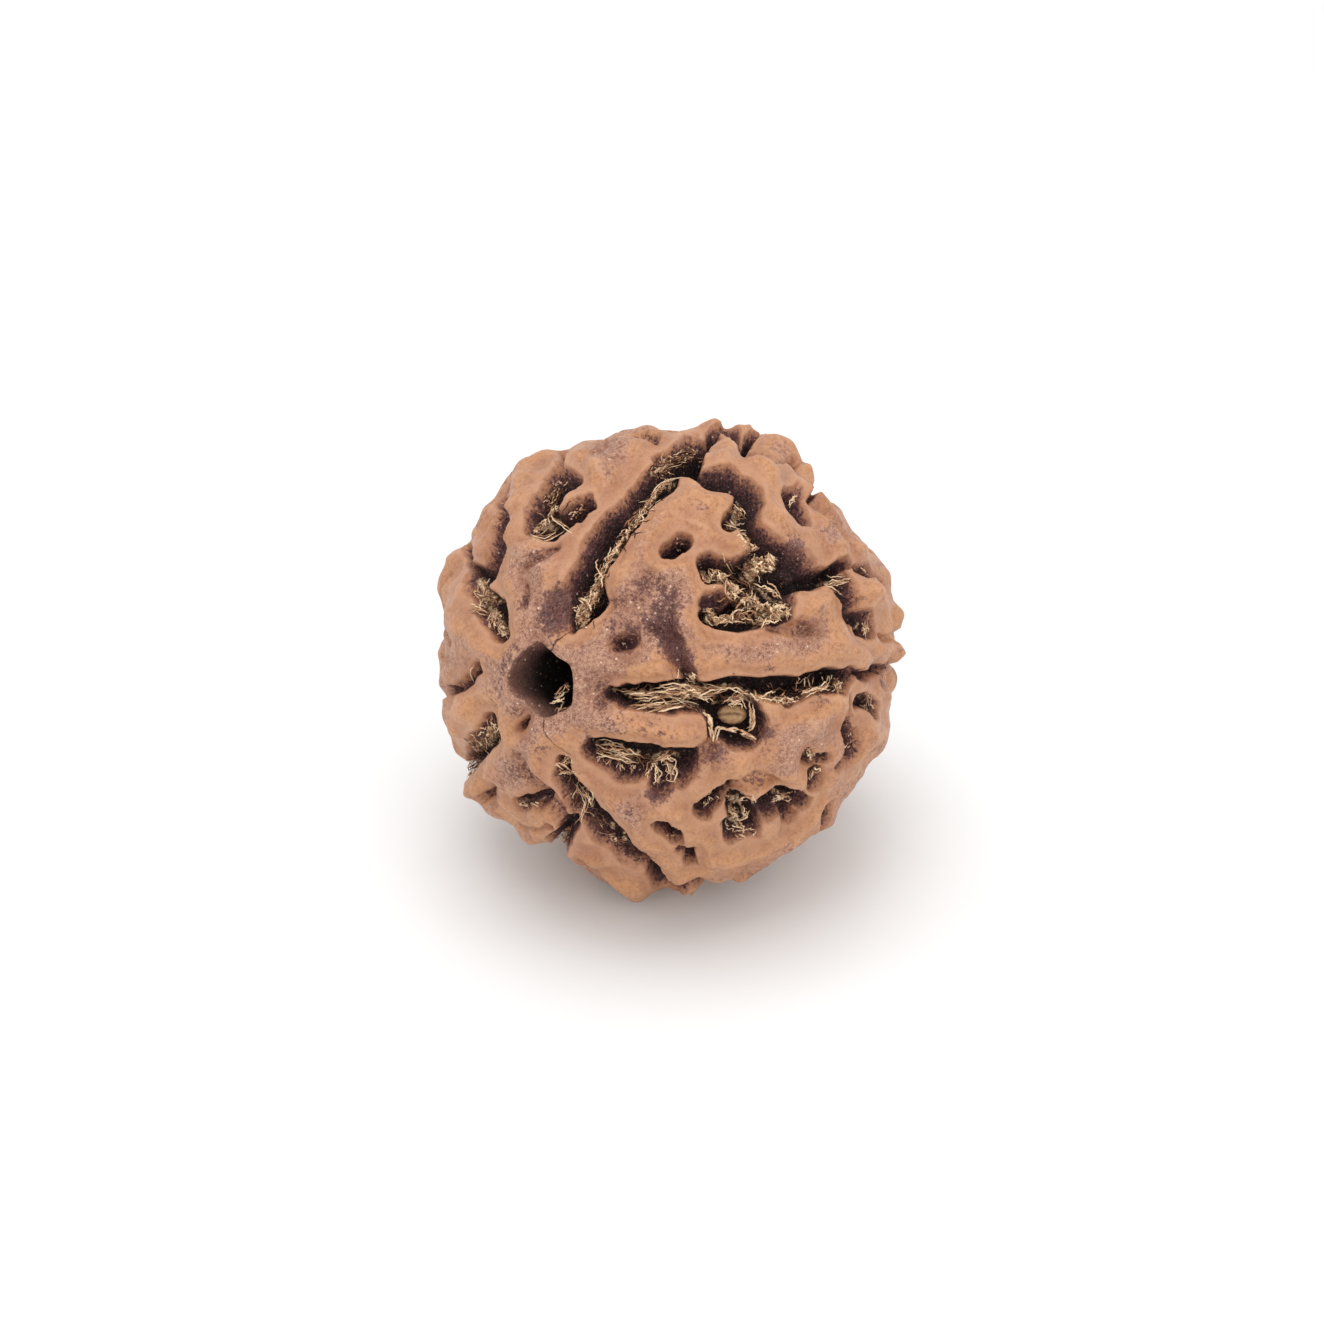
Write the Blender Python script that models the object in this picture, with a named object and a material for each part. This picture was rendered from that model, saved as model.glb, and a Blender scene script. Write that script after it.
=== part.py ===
"""A rudraksha seed lying on its side: one hard round stone with deep clefts, pits and knobs, and a hole along its axis.

The relief is drawn by hand as it is seen from one eye point in front of the seed and above it. Each point of that
drawing is carried along its line of sight onto the round body. A point outside the body's outline stands for one
behind it, as if the back was folded out. The side that the drawing can't reach is filled by a rule: the clefts run on
to the far pole, and valleys, pits and knobs of the same kind lie between them.
Lengths are in millimetres and angles in degrees, until the mesh is made in metres.
"""

import math
import random

import bmesh
import bpy
import numpy as np

MM = 0.001

# Driving dimensions
BODY_RADIUS = 11.4
CENTRE_HEIGHT = 11.0
HOLE_RADIUS_NEAR = 1.5
HOLE_RADIUS_FAR = 1.05
TRIANGLES = 10600

# The eye point of the drawing
EYE_ELEVATION = 32.0
EYE_DISTANCE = 156.0

# The threading hole's mouth in the drawing
HOLE_MOUTH = (-6.3, -1.05)
MOUTH = (
    (-6.85, 0.8), (-6.15, 0.4), (-5.55, 0.0), (-5.05, -0.4), (-4.87, -0.85), (-4.9, -1.6), (-4.95, -2.35), (-5.55, -2.7),
    (-6.3, -2.95), (-6.8, -2.7), (-7.3, -2.1), (-8.15, -1.1), (-7.9, -0.5), (-7.55, 0.15), (-7.2, 0.55),
)
MOUTH_LEVEL = 11.0
MOUTH_DEPTH = 1.4
MOUTH_CURVE = 1.3
FAR_FLARE_DEPTH = 1.0
FAR_FLARE_RADIUS = 1.5
FAR_FLARE_WALL = 0.5

# Main clefts: angle round the hole's axis on the unseen side, depth, width of the wall on the left and on the right of
# the run, then (across, up, half width) along it
CLEFTS = (
    (75.0, 2.0, 0.9, 0.35, (
        (-4.95, 1.6, 0.35), (-4.6, 2.5, 0.72), (-4.3, 3.4, 0.92), (-4.1, 4.3, 0.9), (-3.7, 5.25, 0.85),
        (-3.0, 6.3, 0.75), (-2.1, 7.3, 0.7), (-1.3, 8.3, 0.74), (-0.5, 9.25, 0.76), (0.5, 10.05, 0.72),
        (1.4, 10.6, 0.55), (2.3, 10.9, 0.38), (3.1, 10.95, 0.28), (3.8, 11.1, 0.2), (4.3, 11.7, 0.2))),
    (150.0, 1.3, 0.5, 0.3, (
        (-8.45, 1.25, 0.4), (-8.8, 1.8, 0.6), (-9.15, 2.5, 0.72), (-9.45, 3.2, 0.72), (-9.7, 3.9, 0.6),
        (-10.05, 4.7, 0.25), (-10.35, 5.5, 0.15), (-10.6, 6.2, 0.15))),
    (190.0, 0.8, 0.3, 0.5, (
        (-9.5, -0.5, 0.3), (-10.0, -1.0, 0.28), (-10.5, -1.5, 0.25), (-11.2, -1.8, 0.25))),
    (230.0, 1.4, 0.3, 0.5, (
        (-9.1, -3.2, 0.4), (-9.3, -3.8, 0.6), (-9.7, -4.5, 0.65), (-10.1, -5.2, 0.5), (-10.6, -5.9, 0.3))),
    (284.0, 1.6, 0.25, 0.9, (
        (-5.5, -5.0, 0.3), (-5.35, -5.9, 0.5), (-4.9, -6.85, 0.6), (-4.3, -7.6, 0.58), (-3.55, -8.4, 0.62),
        (-2.8, -9.15, 0.62), (-2.0, -9.9, 0.58), (-1.1, -10.5, 0.5), (-0.2, -11.0, 0.42), (0.8, -11.6, 0.35))),
    (0.0, 1.0, 0.4, 0.4, ((9.6, -0.95, 0.35), (10.4, -0.6, 0.25), (11.2, -0.5, 0.25))),
)
# Other grooves and pits: depth, wall on the left, wall on the right, run
GROOVES = (
    # Seen stretch of the middle cleft
    (1.9, 0.3, 0.4, ((-3.2, -1.7, 0.3), (-2.2, -1.9, 0.55), (-1.0, -1.98, 0.68), (0.5, -1.95, 0.72), (2.0, -1.9, 0.78),
                     (3.5, -1.72, 0.76), (5.0, -1.62, 0.66), (6.5, -1.47, 0.62), (7.8, -1.2, 0.58), (8.8, -1.0, 0.45))),
    # Between the upper cleft and the middle cleft
    (0.55, 0.7, 0.6, ((-5.8, 1.7, 0.6), (-5.4, 3.1, 0.65))),
    (1.9, 0.6, 0.3, ((0.9, 9.4, 0.45), (1.8, 9.2, 0.52), (2.8, 9.05, 0.5), (3.65, 8.6, 0.55), (4.25, 8.15, 0.5),
                     (4.1, 7.6, 0.5))),
    (1.8, 0.35, 0.3, ((3.85, 7.7, 0.6), (4.0, 6.9, 0.58), (4.3, 6.1, 0.6), (4.8, 5.4, 0.64), (5.5, 5.0, 0.62))),
    (1.3, 0.3, 0.3, ((2.95, 6.85, 0.38), (3.35, 7.4, 0.42), (3.6, 7.9, 0.5))),
    (1.3, 0.8, 0.8, ((5.6, 4.9, 0.75), (6.4, 4.8, 0.75), (7.1, 4.3, 0.45))),
    (1.8, 0.3, 0.3, ((2.0, 4.5, 0.68), (3.1, 4.35, 0.55), (4.2, 4.5, 0.8), (5.0, 4.4, 0.85))),
    (1.7, 0.3, 0.2, ((3.9, 3.75, 0.85), (5.05, 3.5, 0.95), (5.6, 4.1, 0.75))),
    (1.5, 0.2, 0.3, ((1.95, 2.25, 0.55), (3.0, 2.3, 0.8), (4.2, 2.45, 0.9), (5.35, 2.65, 0.85))),
    (0.45, 0.4, 0.4, ((2.1, 2.75, 0.5), (2.8, 3.05, 0.4))),
    (1.6, 0.35, 0.25, ((6.0, 3.95, 0.5), (7.0, 4.0, 0.45), (8.0, 4.25, 0.55), (8.6, 4.5, 0.38))),
    (1.3, 0.4, 0.25, ((8.1, 4.0, 0.4), (8.75, 3.3, 0.42), (8.95, 2.4, 0.32), (8.95, 1.5, 0.25))),
    (1.2, 0.35, 0.35, ((9.65, 2.05, 0.5), (9.75, 1.5, 0.5))),
    (0.9, 0.3, 0.3, ((9.4, 4.45, 0.3), (9.95, 4.15, 0.32), (10.35, 3.7, 0.25))),
    (0.5, 0.4, 0.4, ((5.1, 1.4, 0.35), (6.0, 1.5, 0.45), (7.0, 1.4, 0.4))),
    (1.3, 0.35, 0.35, ((0.15, 5.4, 0.48), (0.6, 5.85, 0.48))),
    (0.75, 0.35, 0.35, ((-2.55, 0.85, 0.36), (-2.0, 0.88, 0.38))),
    (0.4, 0.6, 0.6, ((-1.2, 4.3, 0.5), (-0.5, 3.2, 0.6), (-0.2, 2.2, 0.6))),
    (0.3, 0.6, 0.6, ((-2.9, 2.9, 0.5), (-1.5, 2.6, 0.6), (-0.3, 2.5, 0.6))),
    (0.6, 0.5, 0.5, ((-0.1, 1.2, 0.25), (0.15, 0.5, 0.4), (0.45, -0.1, 0.3), (0.85, -0.75, 0.45), (1.0, -1.2, 0.5))),
    (0.4, 0.4, 0.4, ((0.1, 0.7, 0.3), (-1.1, 1.5, 0.3))),
    (0.4, 0.4, 0.4, ((0.2, 0.5, 0.3), (-0.2, 1.9, 0.25))),
    (1.3, 0.3, 0.5, ((5.95, 8.35, 0.32), (6.2, 7.6, 0.42), (6.65, 6.9, 0.36))),
    (0.6, 0.4, 0.15, ((2.9, 10.8, 0.18), (3.5, 10.4, 0.28), (4.4, 10.2, 0.32), (5.4, 10.1, 0.3), (6.3, 9.8, 0.2))),
    (0.9, 0.3, 0.4, ((6.9, 7.9, 0.15), (7.4, 8.7, 0.3), (8.2, 9.7, 0.35), (9.3, 11.1, 0.35))),
    (0.5, 0.2, 0.15, ((7.0, 8.0, 0.2), (7.8, 7.0, 0.22), (8.5, 6.1, 0.25), (9.0, 5.5, 0.2))),
    # Beyond the upper cleft
    (1.6, 0.35, 0.4, ((-6.8, 6.75, 0.55), (-6.1, 6.65, 0.62), (-5.5, 6.85, 0.45))),
    (1.6, 0.5, 0.3, ((-6.7, 7.2, 0.55), (-6.15, 7.9, 0.62), (-5.75, 8.55, 0.72), (-5.1, 9.0, 0.52))),
    (1.4, 0.3, 0.3, ((-5.3, 7.05, 0.3), (-4.7, 7.4, 0.36), (-4.05, 7.8, 0.4))),
    (0.4, 0.25, 0.2, ((-7.0, 4.5, 0.22), (-6.4, 5.0, 0.3), (-5.8, 5.5, 0.22))),
    (0.35, 0.12, 0.12, ((-7.0, 3.4, 0.1), (-7.05, 2.7, 0.1))),
    (0.9, 0.45, 0.2, ((-8.3, 9.3, 0.15), (-8.2, 8.5, 0.2), (-8.3, 7.8, 0.25), (-8.45, 7.0, 0.35), (-8.6, 6.0, 0.4),
                      (-8.65, 5.2, 0.38), (-8.95, 4.6, 0.3), (-9.3, 4.2, 0.3))),
    (0.8, 0.2, 0.2, ((-10.1, 5.6, 0.15), (-10.0, 4.8, 0.2), (-9.8, 4.2, 0.3))),
    (0.6, 0.3, 0.3, ((-5.3, 10.35, 0.28), (-5.5, 9.6, 0.28))),
    (0.35, 0.2, 0.2, ((-3.4, 10.75, 0.15), (-3.55, 10.2, 0.18), (-4.4, 9.9, 0.15))),
    (0.7, 0.35, 0.3, ((-1.5, 10.95, 0.3), (-0.9, 10.95, 0.35))),
    (0.4, 0.3, 0.3, ((-10.95, 4.0, 0.12), (-10.95, 2.4, 0.15), (-10.8, 0.8, 0.15))),
    # Between the middle cleft and the lower cleft
    (1.5, 0.3, 0.45, ((2.6, -3.0, 0.72), (3.2, -3.4, 0.92), (3.85, -3.75, 0.72))),
    (1.4, 0.2, 0.3, ((3.75, -2.4, 0.4), (4.1, -3.3, 0.6))),
    (1.3, 0.3, 0.3, ((1.5, -2.42, 0.25), (1.85, -2.75, 0.3))),
    (1.1, 0.3, 0.4, ((2.05, -3.2, 0.25), (2.1, -3.9, 0.28))),
    (0.5, 0.6, 0.6, ((2.0, -4.4, 0.45), (1.0, -5.2, 0.6))),
    (1.6, 0.3, 0.7, ((-3.9, -4.6, 0.55), (-3.0, -5.0, 0.85), (-2.0, -5.15, 0.85), (-1.0, -5.35, 0.92),
                     (0.0, -5.5, 1.0), (0.7, -5.35, 0.85))),
    (1.2, 0.5, 0.5, ((-0.4, -6.1, 0.7), (-0.75, -6.55, 0.5))),
    (1.5, 0.4, 0.4, ((1.65, -7.5, 0.6), (2.2, -7.05, 0.45), (2.9, -6.6, 0.28))),
    (0.55, 0.2, 0.5, ((3.1, -6.45, 0.35), (4.1, -6.15, 0.42), (5.1, -6.05, 0.3))),
    (1.5, 0.4, 0.5, ((3.5, -7.4, 0.55), (3.8, -8.1, 0.75), (3.1, -8.6, 0.55))),
    (1.4, 0.4, 0.6, ((4.5, -7.35, 0.35), (5.3, -7.35, 0.55), (6.2, -7.1, 0.5))),
    (1.1, 0.5, 0.5, ((5.6, -6.85, 0.35), (5.9, -7.8, 0.45))),
    (1.1, 0.3, 0.3, ((-0.4, -8.6, 0.36), (0.15, -8.9, 0.36))),
    (0.8, 0.25, 0.25, ((0.45, -9.75, 0.26), (0.9, -9.8, 0.3))),
    (0.5, 0.4, 0.4, ((3.6, -10.3, 0.4), (4.2, -10.15, 0.35))),
    (0.8, 0.25, 0.25, ((6.8, -4.7, 0.22), (7.1, -5.0, 0.28), (7.5, -4.85, 0.22))),
    (0.8, 0.3, 0.3, ((7.35, -5.7, 0.32), (6.9, -6.2, 0.28))),
    (1.2, 0.4, 0.4, ((9.6, -2.25, 0.42), (10.1, -2.55, 0.42))),
    (0.9, 0.5, 0.2, ((8.85, -2.1, 0.22), (8.8, -3.3, 0.32), (8.95, -4.1, 0.38), (8.9, -4.8, 0.3), (8.4, -5.4, 0.2))),
    (0.8, 0.5, 0.15, ((8.7, -6.3, 0.2), (7.8, -7.2, 0.4), (7.1, -8.1, 0.45), (6.4, -9.0, 0.4), (5.6, -9.6, 0.25))),
    # Beyond the lower cleft
    (1.5, 0.6, 0.5, ((-5.0, -8.1, 0.2), (-5.5, -8.9, 0.4), (-6.1, -9.9, 0.45), (-7.0, -11.4, 0.5), (-8.2, -13.4, 0.5))),
    (0.6, 0.35, 0.35, ((-7.7, -4.9, 0.15), (-7.0, -5.8, 0.3), (-6.4, -6.7, 0.35), (-5.85, -7.5, 0.35),
                       (-5.35, -8.2, 0.3))),
    (0.7, 0.25, 0.25, ((-9.3, -6.75, 0.26), (-9.0, -6.75, 0.26))),
    (1.0, 0.25, 0.35, ((-7.7, -7.3, 0.25), (-6.9, -7.15, 0.28), (-6.3, -7.3, 0.35))),
    (0.6, 0.3, 0.3, ((-7.2, -8.2, 0.22), (-6.2, -8.4, 0.3))),
    (0.9, 0.2, 0.2, ((-7.35, -3.0, 0.1), (-7.45, -3.25, 0.16))),
    (0.6, 0.15, 0.4, ((-4.4, -9.8, 0.16), (-3.6, -10.4, 0.22), (-2.7, -10.9, 0.18))),
)
# Knobs, and hollows where the height is negative: height, reach, place in the drawing
KNOBS = (
    (0.5, 0.9, (-11.6, 3.55)), (0.35, 0.9, (-10.9, 5.2)), (0.8, 0.9, (2.1, 12.0)), (0.6, 0.75, (3.6, 11.75)),
    (0.7, 1.3, (5.0, 11.3)), (0.5, 1.1, (6.4, 10.5)), (0.7, 0.75, (11.7, 2.1)), (0.6, 0.8, (11.8, 0.2)),
    (0.9, 1.0, (-10.3, -6.5)), (0.5, 1.1, (-6.9, -9.1)), (0.7, 1.5, (-1.7, -11.9)), (0.9, 0.75, (9.85, 3.2)),
    (0.3, 0.6, (7.5, 8.2)), (0.5, 2.0, (-7.3, 9.6)), (0.3, 1.5, (-9.6, 7.0)), (-0.35, 1.6, (-3.4, 11.2)),
    (0.3, 0.9, (3.3, 5.7)), (0.25, 1.0, (-4.0, 9.4)), (0.25, 0.9, (2.9, 8.2)), (0.35, 1.0, (7.4, 2.7)),
    (-0.7, 2.0, (9.2, 7.2)), (0.4, 1.2, (8.0, -9.2)), (0.3, 2.2, (3.6, -11.3)), (0.45, 1.7, (10.8, -4.6)),
    (0.3, 1.2, (-4.8, -10.2)), (0.3, 1.2, (10.9, 4.2)), (0.3, 0.8, (-11.3, -0.6)), (-0.7, 0.8, (-10.6, 0.3)),
    (0.3, 1.3, (-11.0, -2.6)), (-0.7, 1.0, (-9.8, -5.5)), (0.25, 1.0, (0.9, -3.5)), (0.25, 0.8, (-0.6, -0.5)),
    (-0.4, 1.6, (-11.4, 1.9)), (0.3, 1.0, (-9.2, -7.6)), (0.25, 0.9, (5.2, -2.9)), (0.25, 0.9, (3.2, -5.2)),
    (0.25, 1.1, (-6.9, 8.9)), (0.25, 1.1, (4.9, 7.2)), (0.2, 1.2, (-3.2, -3.3)), (0.25, 1.0, (-1.6, 5.6)),
    (0.6, 1.0, (-5.6, -7.0)), (0.4, 0.8, (-6.2, -5.8)), (-0.6, 0.8, (-5.3, -8.9)), (-0.4, 0.8, (11.1, 1.2)),
    (-0.4, 0.9, (10.9, -1.4)), (-0.4, 1.0, (-1.3, 11.6)),
)

# Slow swelling and fine ripple of the body
LEAN_HEIGHT = 0.3
SWELL_HEIGHT = 0.1
SWELL_LENGTH = 5.0
RIPPLE_HEIGHT = 0.09
RIPPLE_LENGTH = 2.0
FLOOR_HEIGHT = 0.07
FLOOR_LENGTH = 1.1
FLOOR_FULL_DEPTH = 1.2
WAVES_IN_SUM = 16

# Wavering of the grooves' edges
WARP_REACH = 0.1
WARP_LENGTH = 2.3
FINE_WARP_REACH = 0.03
FINE_WARP_LENGTH = 0.8

# Section through a groove: its wall, the rounded shoulder outside its rim, and the low welt beyond that
HALF_WIDTH_GAIN = 0.1
WALL_LIP = 0.8
SHOULDER_DEPTH = 0.38
# Reach of the shoulder beside a sheer wall and beside one a millimetre wide
SHOULDER_REACHES = (0.35, 0.85)
SHOULDER_FULL_DEPTH = 1.2
WELT_HEIGHT = 0.09
WELT_OFFSET = 0.75
WELT_REACH = 0.4
EDGE_REACH = 1.9
WALL_BLEND = 0.15
LEAST_WALL = 0.1
LEAST_WEIGHT = 1e-9
BLEND_POWER = 4.0
# Widths are as the drawing shows them wherever the eye sees the body at least this squarely
SQUARE_ENOUGH = 0.45
MOST_STRETCH = 2.2
STEPS_IN_SPAN = 6
SETTLING_ROUNDS = 4

# The unseen side
CLEFT_STEP = 9.0
CLEFT_END = 168.0
CLEFT_SETTLING = 60.0
CLEFT_WANDER = 3.5
CLEFT_HALF_WIDTH = 0.75
CLEFT_TAPER_START = 130.0
CLEFT_TAPER = 0.35
CLEFT_VARIATION = 0.12
BRANCH_EVERY = 12
BRANCH_LENGTHS = (2.6, 4.2)
BRANCH_DEPTHS = (1.1, 1.8)
BRANCH_MARGIN = 3
BRANCH_LEAN = 0.7
BRANCH_BEND = 0.9
BRANCH_START_HALF = 0.55
BRANCH_END_HALVES = (0.5, 0.85)
BRANCH_WALLS = (0.3, 0.6)
BRANCH_START_SEEN = -0.05
BRANCH_END_SEEN = -0.02
PIT_TRIES = 900
PIT_LENGTHS = (0.6, 1.0, 1.6, 2.4, 3.4)
PIT_DEPTHS = (0.6, 1.7)
PIT_HALF_WIDTHS = (0.35, 0.9)
PIT_LEAST_TAPER = 0.6
PIT_BEND = 1.2
PIT_WALL = 0.35
PIT_SEEN = -0.1
PIT_ROOM = 1.35
PATH_ROOM = 1.1
PATH_STEP = 0.7
POLE_ROOM = 158.0
REST_CLEARANCE = 0.95
KNOBS_UNSEEN = 46
KNOB_HEIGHTS = (0.15, 0.6)
KNOB_REACHES = (0.6, 1.3)
KNOBS_SEEN = -0.25

# Mesh density, the cutters' sizes and the seed of every draw
SPHERE_SUBDIVISIONS = 7
HOLE_SIDES = 24
MOUTH_RINGS = 4
CUTTER_REACH = 17.0
REST_BLOCK = 16.0
SEED = 108

RISE = math.radians(EYE_ELEVATION)
RIGHT = np.array([1.0, 0.0, 0.0])
UP = np.array([0.0, math.sin(RISE), math.cos(RISE)])
TOWARD = np.array([0.0, -math.cos(RISE), math.sin(RISE)])
CENTRE = np.array([0.0, 0.0, CENTRE_HEIGHT])


def unit(vector):
    return vector / np.linalg.norm(vector)


def units(vectors):
    return vectors / np.linalg.norm(vectors, axis=-1, keepdims=True)


def waves(points, wavelength, name):
    """A smooth field of about unit strength, as a sum of plane waves in seeded directions."""
    draw = random.Random(f"{SEED} {name}")
    total = np.zeros(len(points))
    for _ in range(WAVES_IN_SUM):
        way = np.array([draw.gauss(0, 1) for _ in range(3)])
        way *= 2 * math.pi / (wavelength * np.linalg.norm(way))
        total += np.cos(points @ way + draw.uniform(0, 2 * math.pi))
    return total * math.sqrt(2 / WAVES_IN_SUM)


def sight_rays(places):
    """Unit directions from the eye through points of the drawing."""
    return units(np.outer(places[:, 0], RIGHT) + np.outer(places[:, 1], UP) - TOWARD * EYE_DISTANCE)


def on_sphere(places, radius):
    """The points on a sphere round the body's centre that these points of the drawing stand for."""
    eye = TOWARD * EYE_DISTANCE
    rays = sight_rays(places)
    nearest = eye - rays * (rays @ eye)[:, None]
    miss = np.linalg.norm(nearest, axis=1)
    front = nearest - rays * np.sqrt(np.maximum(radius**2 - miss**2, 0))[:, None]
    behind = (np.maximum(miss - radius, 0) / radius)[:, None]
    back = np.reshape(radius, (-1, 1)) * (nearest / miss[:, None] * np.cos(behind) + rays * np.sin(behind))
    return np.where((miss < radius)[:, None], front, back)


def scattered_knobs():
    """Seeded knobs on the side that the drawing doesn't reach, clear of the resting spot."""
    draw = random.Random(f"{SEED} knobs")
    found = []
    while len(found) < KNOBS_UNSEEN:
        way = unit(np.array([draw.gauss(0, 1) for _ in range(3)]))
        height, reach = draw.uniform(*KNOB_HEIGHTS), draw.uniform(*KNOB_REACHES)
        if way @ TOWARD < KNOBS_SEEN and way[2] > -REST_CLEARANCE:
            found.append((height, reach, way))
    return found


LEAN = LEAN_HEIGHT * unit(UP - RIGHT)
KNOB_PLACES = [(height, reach, unit(on_sphere(np.array([place]), BODY_RADIUS)[0])) for height, reach, place in KNOBS]
KNOB_PLACES += scattered_knobs()


def plain_radius(ways):
    """Distance from the centre to the body along each unit direction, with its swells and knobs but no grooves."""
    radius = BODY_RADIUS + ways @ LEAN + SWELL_HEIGHT * waves(ways * BODY_RADIUS, SWELL_LENGTH, "swell")
    for height, reach, way in KNOB_PLACES:
        radius += height * np.exp(((ways @ way) - 1) * 2 * (BODY_RADIUS / reach) ** 2)
    return radius


def on_body(places):
    """The points at rim height on the plain body that points of the drawing stand for, from the body's centre."""
    places = np.atleast_2d(np.asarray(places, float))
    radius = np.full(len(places), BODY_RADIUS)
    for _ in range(SETTLING_ROUNDS):
        ways = units(on_sphere(places, radius))
        radius = plain_radius(ways) - SHOULDER_DEPTH
    return ways * radius[:, None]


AXIS = unit(on_body(HOLE_MOUTH)[0])
MERIDIAN = on_body((4.0, -1.6))[0]
MERIDIAN = unit(MERIDIAN - AXIS * (MERIDIAN @ AXIS))
ACROSS = np.cross(AXIS, MERIDIAN)


def at_angles(round_axis, from_mouth):
    """The point of the body at these angles: round the axis, and away from the hole's near mouth."""
    turn, fall = math.radians(round_axis), math.radians(from_mouth)
    side = MERIDIAN * math.cos(turn) + ACROSS * math.sin(turn)
    return BODY_RADIUS * (AXIS * math.cos(fall) + side * math.sin(fall))


def angles_of(point):
    way = unit(point)
    turn = math.degrees(math.atan2(way @ ACROSS, way @ MERIDIAN)) % 360
    return turn, math.degrees(math.acos(max(-1.0, min(1.0, way @ AXIS))))


def smooth_run(run, steps=STEPS_IN_SPAN):
    """Points between the given ones on a curve through them all, with what each carries."""
    run = np.asarray(run, float)
    if len(run) < 3:
        return run
    padded = np.vstack([2 * run[0] - run[1], run, 2 * run[-1] - run[-2]])
    points = []
    for a, b, c, d in zip(padded, padded[1:], padded[2:], padded[3:]):
        for t in np.arange(steps) / steps:
            points.append(0.5 * (2 * b + (c - a) * t + (2 * a - 5 * b + 4 * c - d) * t**2
                                 + (3 * b - a - 3 * c + d) * t**3))
    points.append(run[-1])
    return np.array(points)


def groove(depth, left, right, run):
    """A groove ready to cut. Its run is rows of x, y, z and half width, brought onto the plain body here."""
    rows = smooth_run(run)
    ways = units(rows[:, :3])
    rows[:, :3] = ways * plain_radius(ways)[:, None]
    return depth, left, right, rows


def carried(drawing):
    """Rows of x, y, z and half width for points of the drawing."""
    drawing = np.array(drawing)
    return [*np.column_stack([on_body(drawing[:, :2]), drawing[:, 2] + HALF_WIDTH_GAIN])]


def drawn(depth, left, right, drawing):
    return groove(depth, left, right, carried(drawing))


def cleft_to_far_pole(turn, depth, left, right, drawing, draw):
    """A main cleft: its drawn stretch, and then its meridian round the back."""
    run = carried(drawing)
    last_turn, last_fall = angles_of(run[-1][:3])
    last_turn += 360 * round((turn - last_turn) / 360)
    last_half = run[-1][3]
    for fall in np.arange(last_fall + CLEFT_STEP, CLEFT_END, CLEFT_STEP):
        share = min(1.0, (fall - last_fall) / CLEFT_SETTLING)
        angle = last_turn + share * (turn - last_turn) + draw.uniform(-CLEFT_WANDER, CLEFT_WANDER)
        taper = CLEFT_TAPER * max(0.0, fall - CLEFT_TAPER_START) / (CLEFT_END - CLEFT_TAPER_START)
        wide = CLEFT_HALF_WIDTH - taper + draw.uniform(-CLEFT_VARIATION, CLEFT_VARIATION)
        run.append(np.array([*at_angles(angle, fall), last_half + share * (wide - last_half)]))
    return groove(depth, left, right, run)


def seen(point):
    """How squarely the eye of the drawing sees this point of the body: 1 in the middle, 0 at the edge."""
    return unit(point) @ TOWARD


def walk(start, way, length, bend, halves):
    """Rows along a bending path on the body, from start in the tangent direction way."""
    steps = max(2, int(round(length / PATH_STEP)))
    point, rows = start, [(*start, halves[0])]
    for step in range(1, steps + 1):
        normal = unit(point)
        way = unit(way - normal * (way @ normal))
        way = unit(way + np.cross(normal, way) * bend / steps)
        point = unit(point + way * length / steps) * BODY_RADIUS
        rows.append((*point, halves[0] + (halves[1] - halves[0]) * step / steps))
    return rows


def places_of(rows):
    return [np.array(row[:3]) for row in rows]


def branches(clefts, draw):
    """Valleys that leave the clefts on the unseen side."""
    found = []
    for _, _, _, run in clefts:
        for index in range(BRANCH_EVERY // 2, len(run) - BRANCH_MARGIN, BRANCH_EVERY):
            start = run[index][:3]
            along = unit(run[index + 1][:3] - start)
            side = np.cross(unit(start), along) * draw.choice((-1, 1))
            way = unit(side + along * draw.uniform(-BRANCH_LEAN, BRANCH_LEAN))
            halves = (BRANCH_START_HALF, draw.uniform(*BRANCH_END_HALVES))
            rows = walk(start, way, draw.uniform(*BRANCH_LENGTHS), draw.uniform(-BRANCH_BEND, BRANCH_BEND), halves)
            shape = (draw.uniform(*BRANCH_DEPTHS), draw.uniform(*BRANCH_WALLS), draw.uniform(*BRANCH_WALLS))
            unseen = seen(start) < BRANCH_START_SEEN and seen(places_of(rows)[-1]) < BRANCH_END_SEEN
            clear = all(unit(place)[2] > -REST_CLEARANCE for place in places_of(rows))
            if unseen and clear and angles_of(start)[1] < POLE_ROOM:
                found.append(groove(*shape, rows))
    return found


def pits(grooves, draw):
    """Pits on the unseen side, wherever there is room between the grooves."""
    found = []
    taken = [place for _, _, _, run in grooves for place in places_of(run[::2])]

    def free(place, room):
        clear = unit(place)[2] > -REST_CLEARANCE
        return clear and (np.linalg.norm(np.array(taken) - place, axis=1) > room).all()

    for _ in range(PIT_TRIES):
        place = BODY_RADIUS * unit(np.array([draw.gauss(0, 1) for _ in range(3)]))
        way = unit(np.cross(unit(place), [draw.gauss(0, 1) for _ in range(3)]))
        length, bend = draw.choice(PIT_LENGTHS), draw.uniform(-PIT_BEND, PIT_BEND)
        half, depth = draw.uniform(*PIT_HALF_WIDTHS), draw.uniform(*PIT_DEPTHS)
        narrow = half * draw.uniform(PIT_LEAST_TAPER, 1.0)
        if seen(place) > PIT_SEEN or angles_of(place)[1] > POLE_ROOM or not free(place, half + PIT_ROOM):
            continue
        rows = walk(place, way, length, bend, (half, narrow))
        if all(free(point, PATH_ROOM) for point in places_of(rows)):
            found.append(groove(depth, PIT_WALL, PIT_WALL, rows))
            taken += places_of(rows)
    return found


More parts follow.
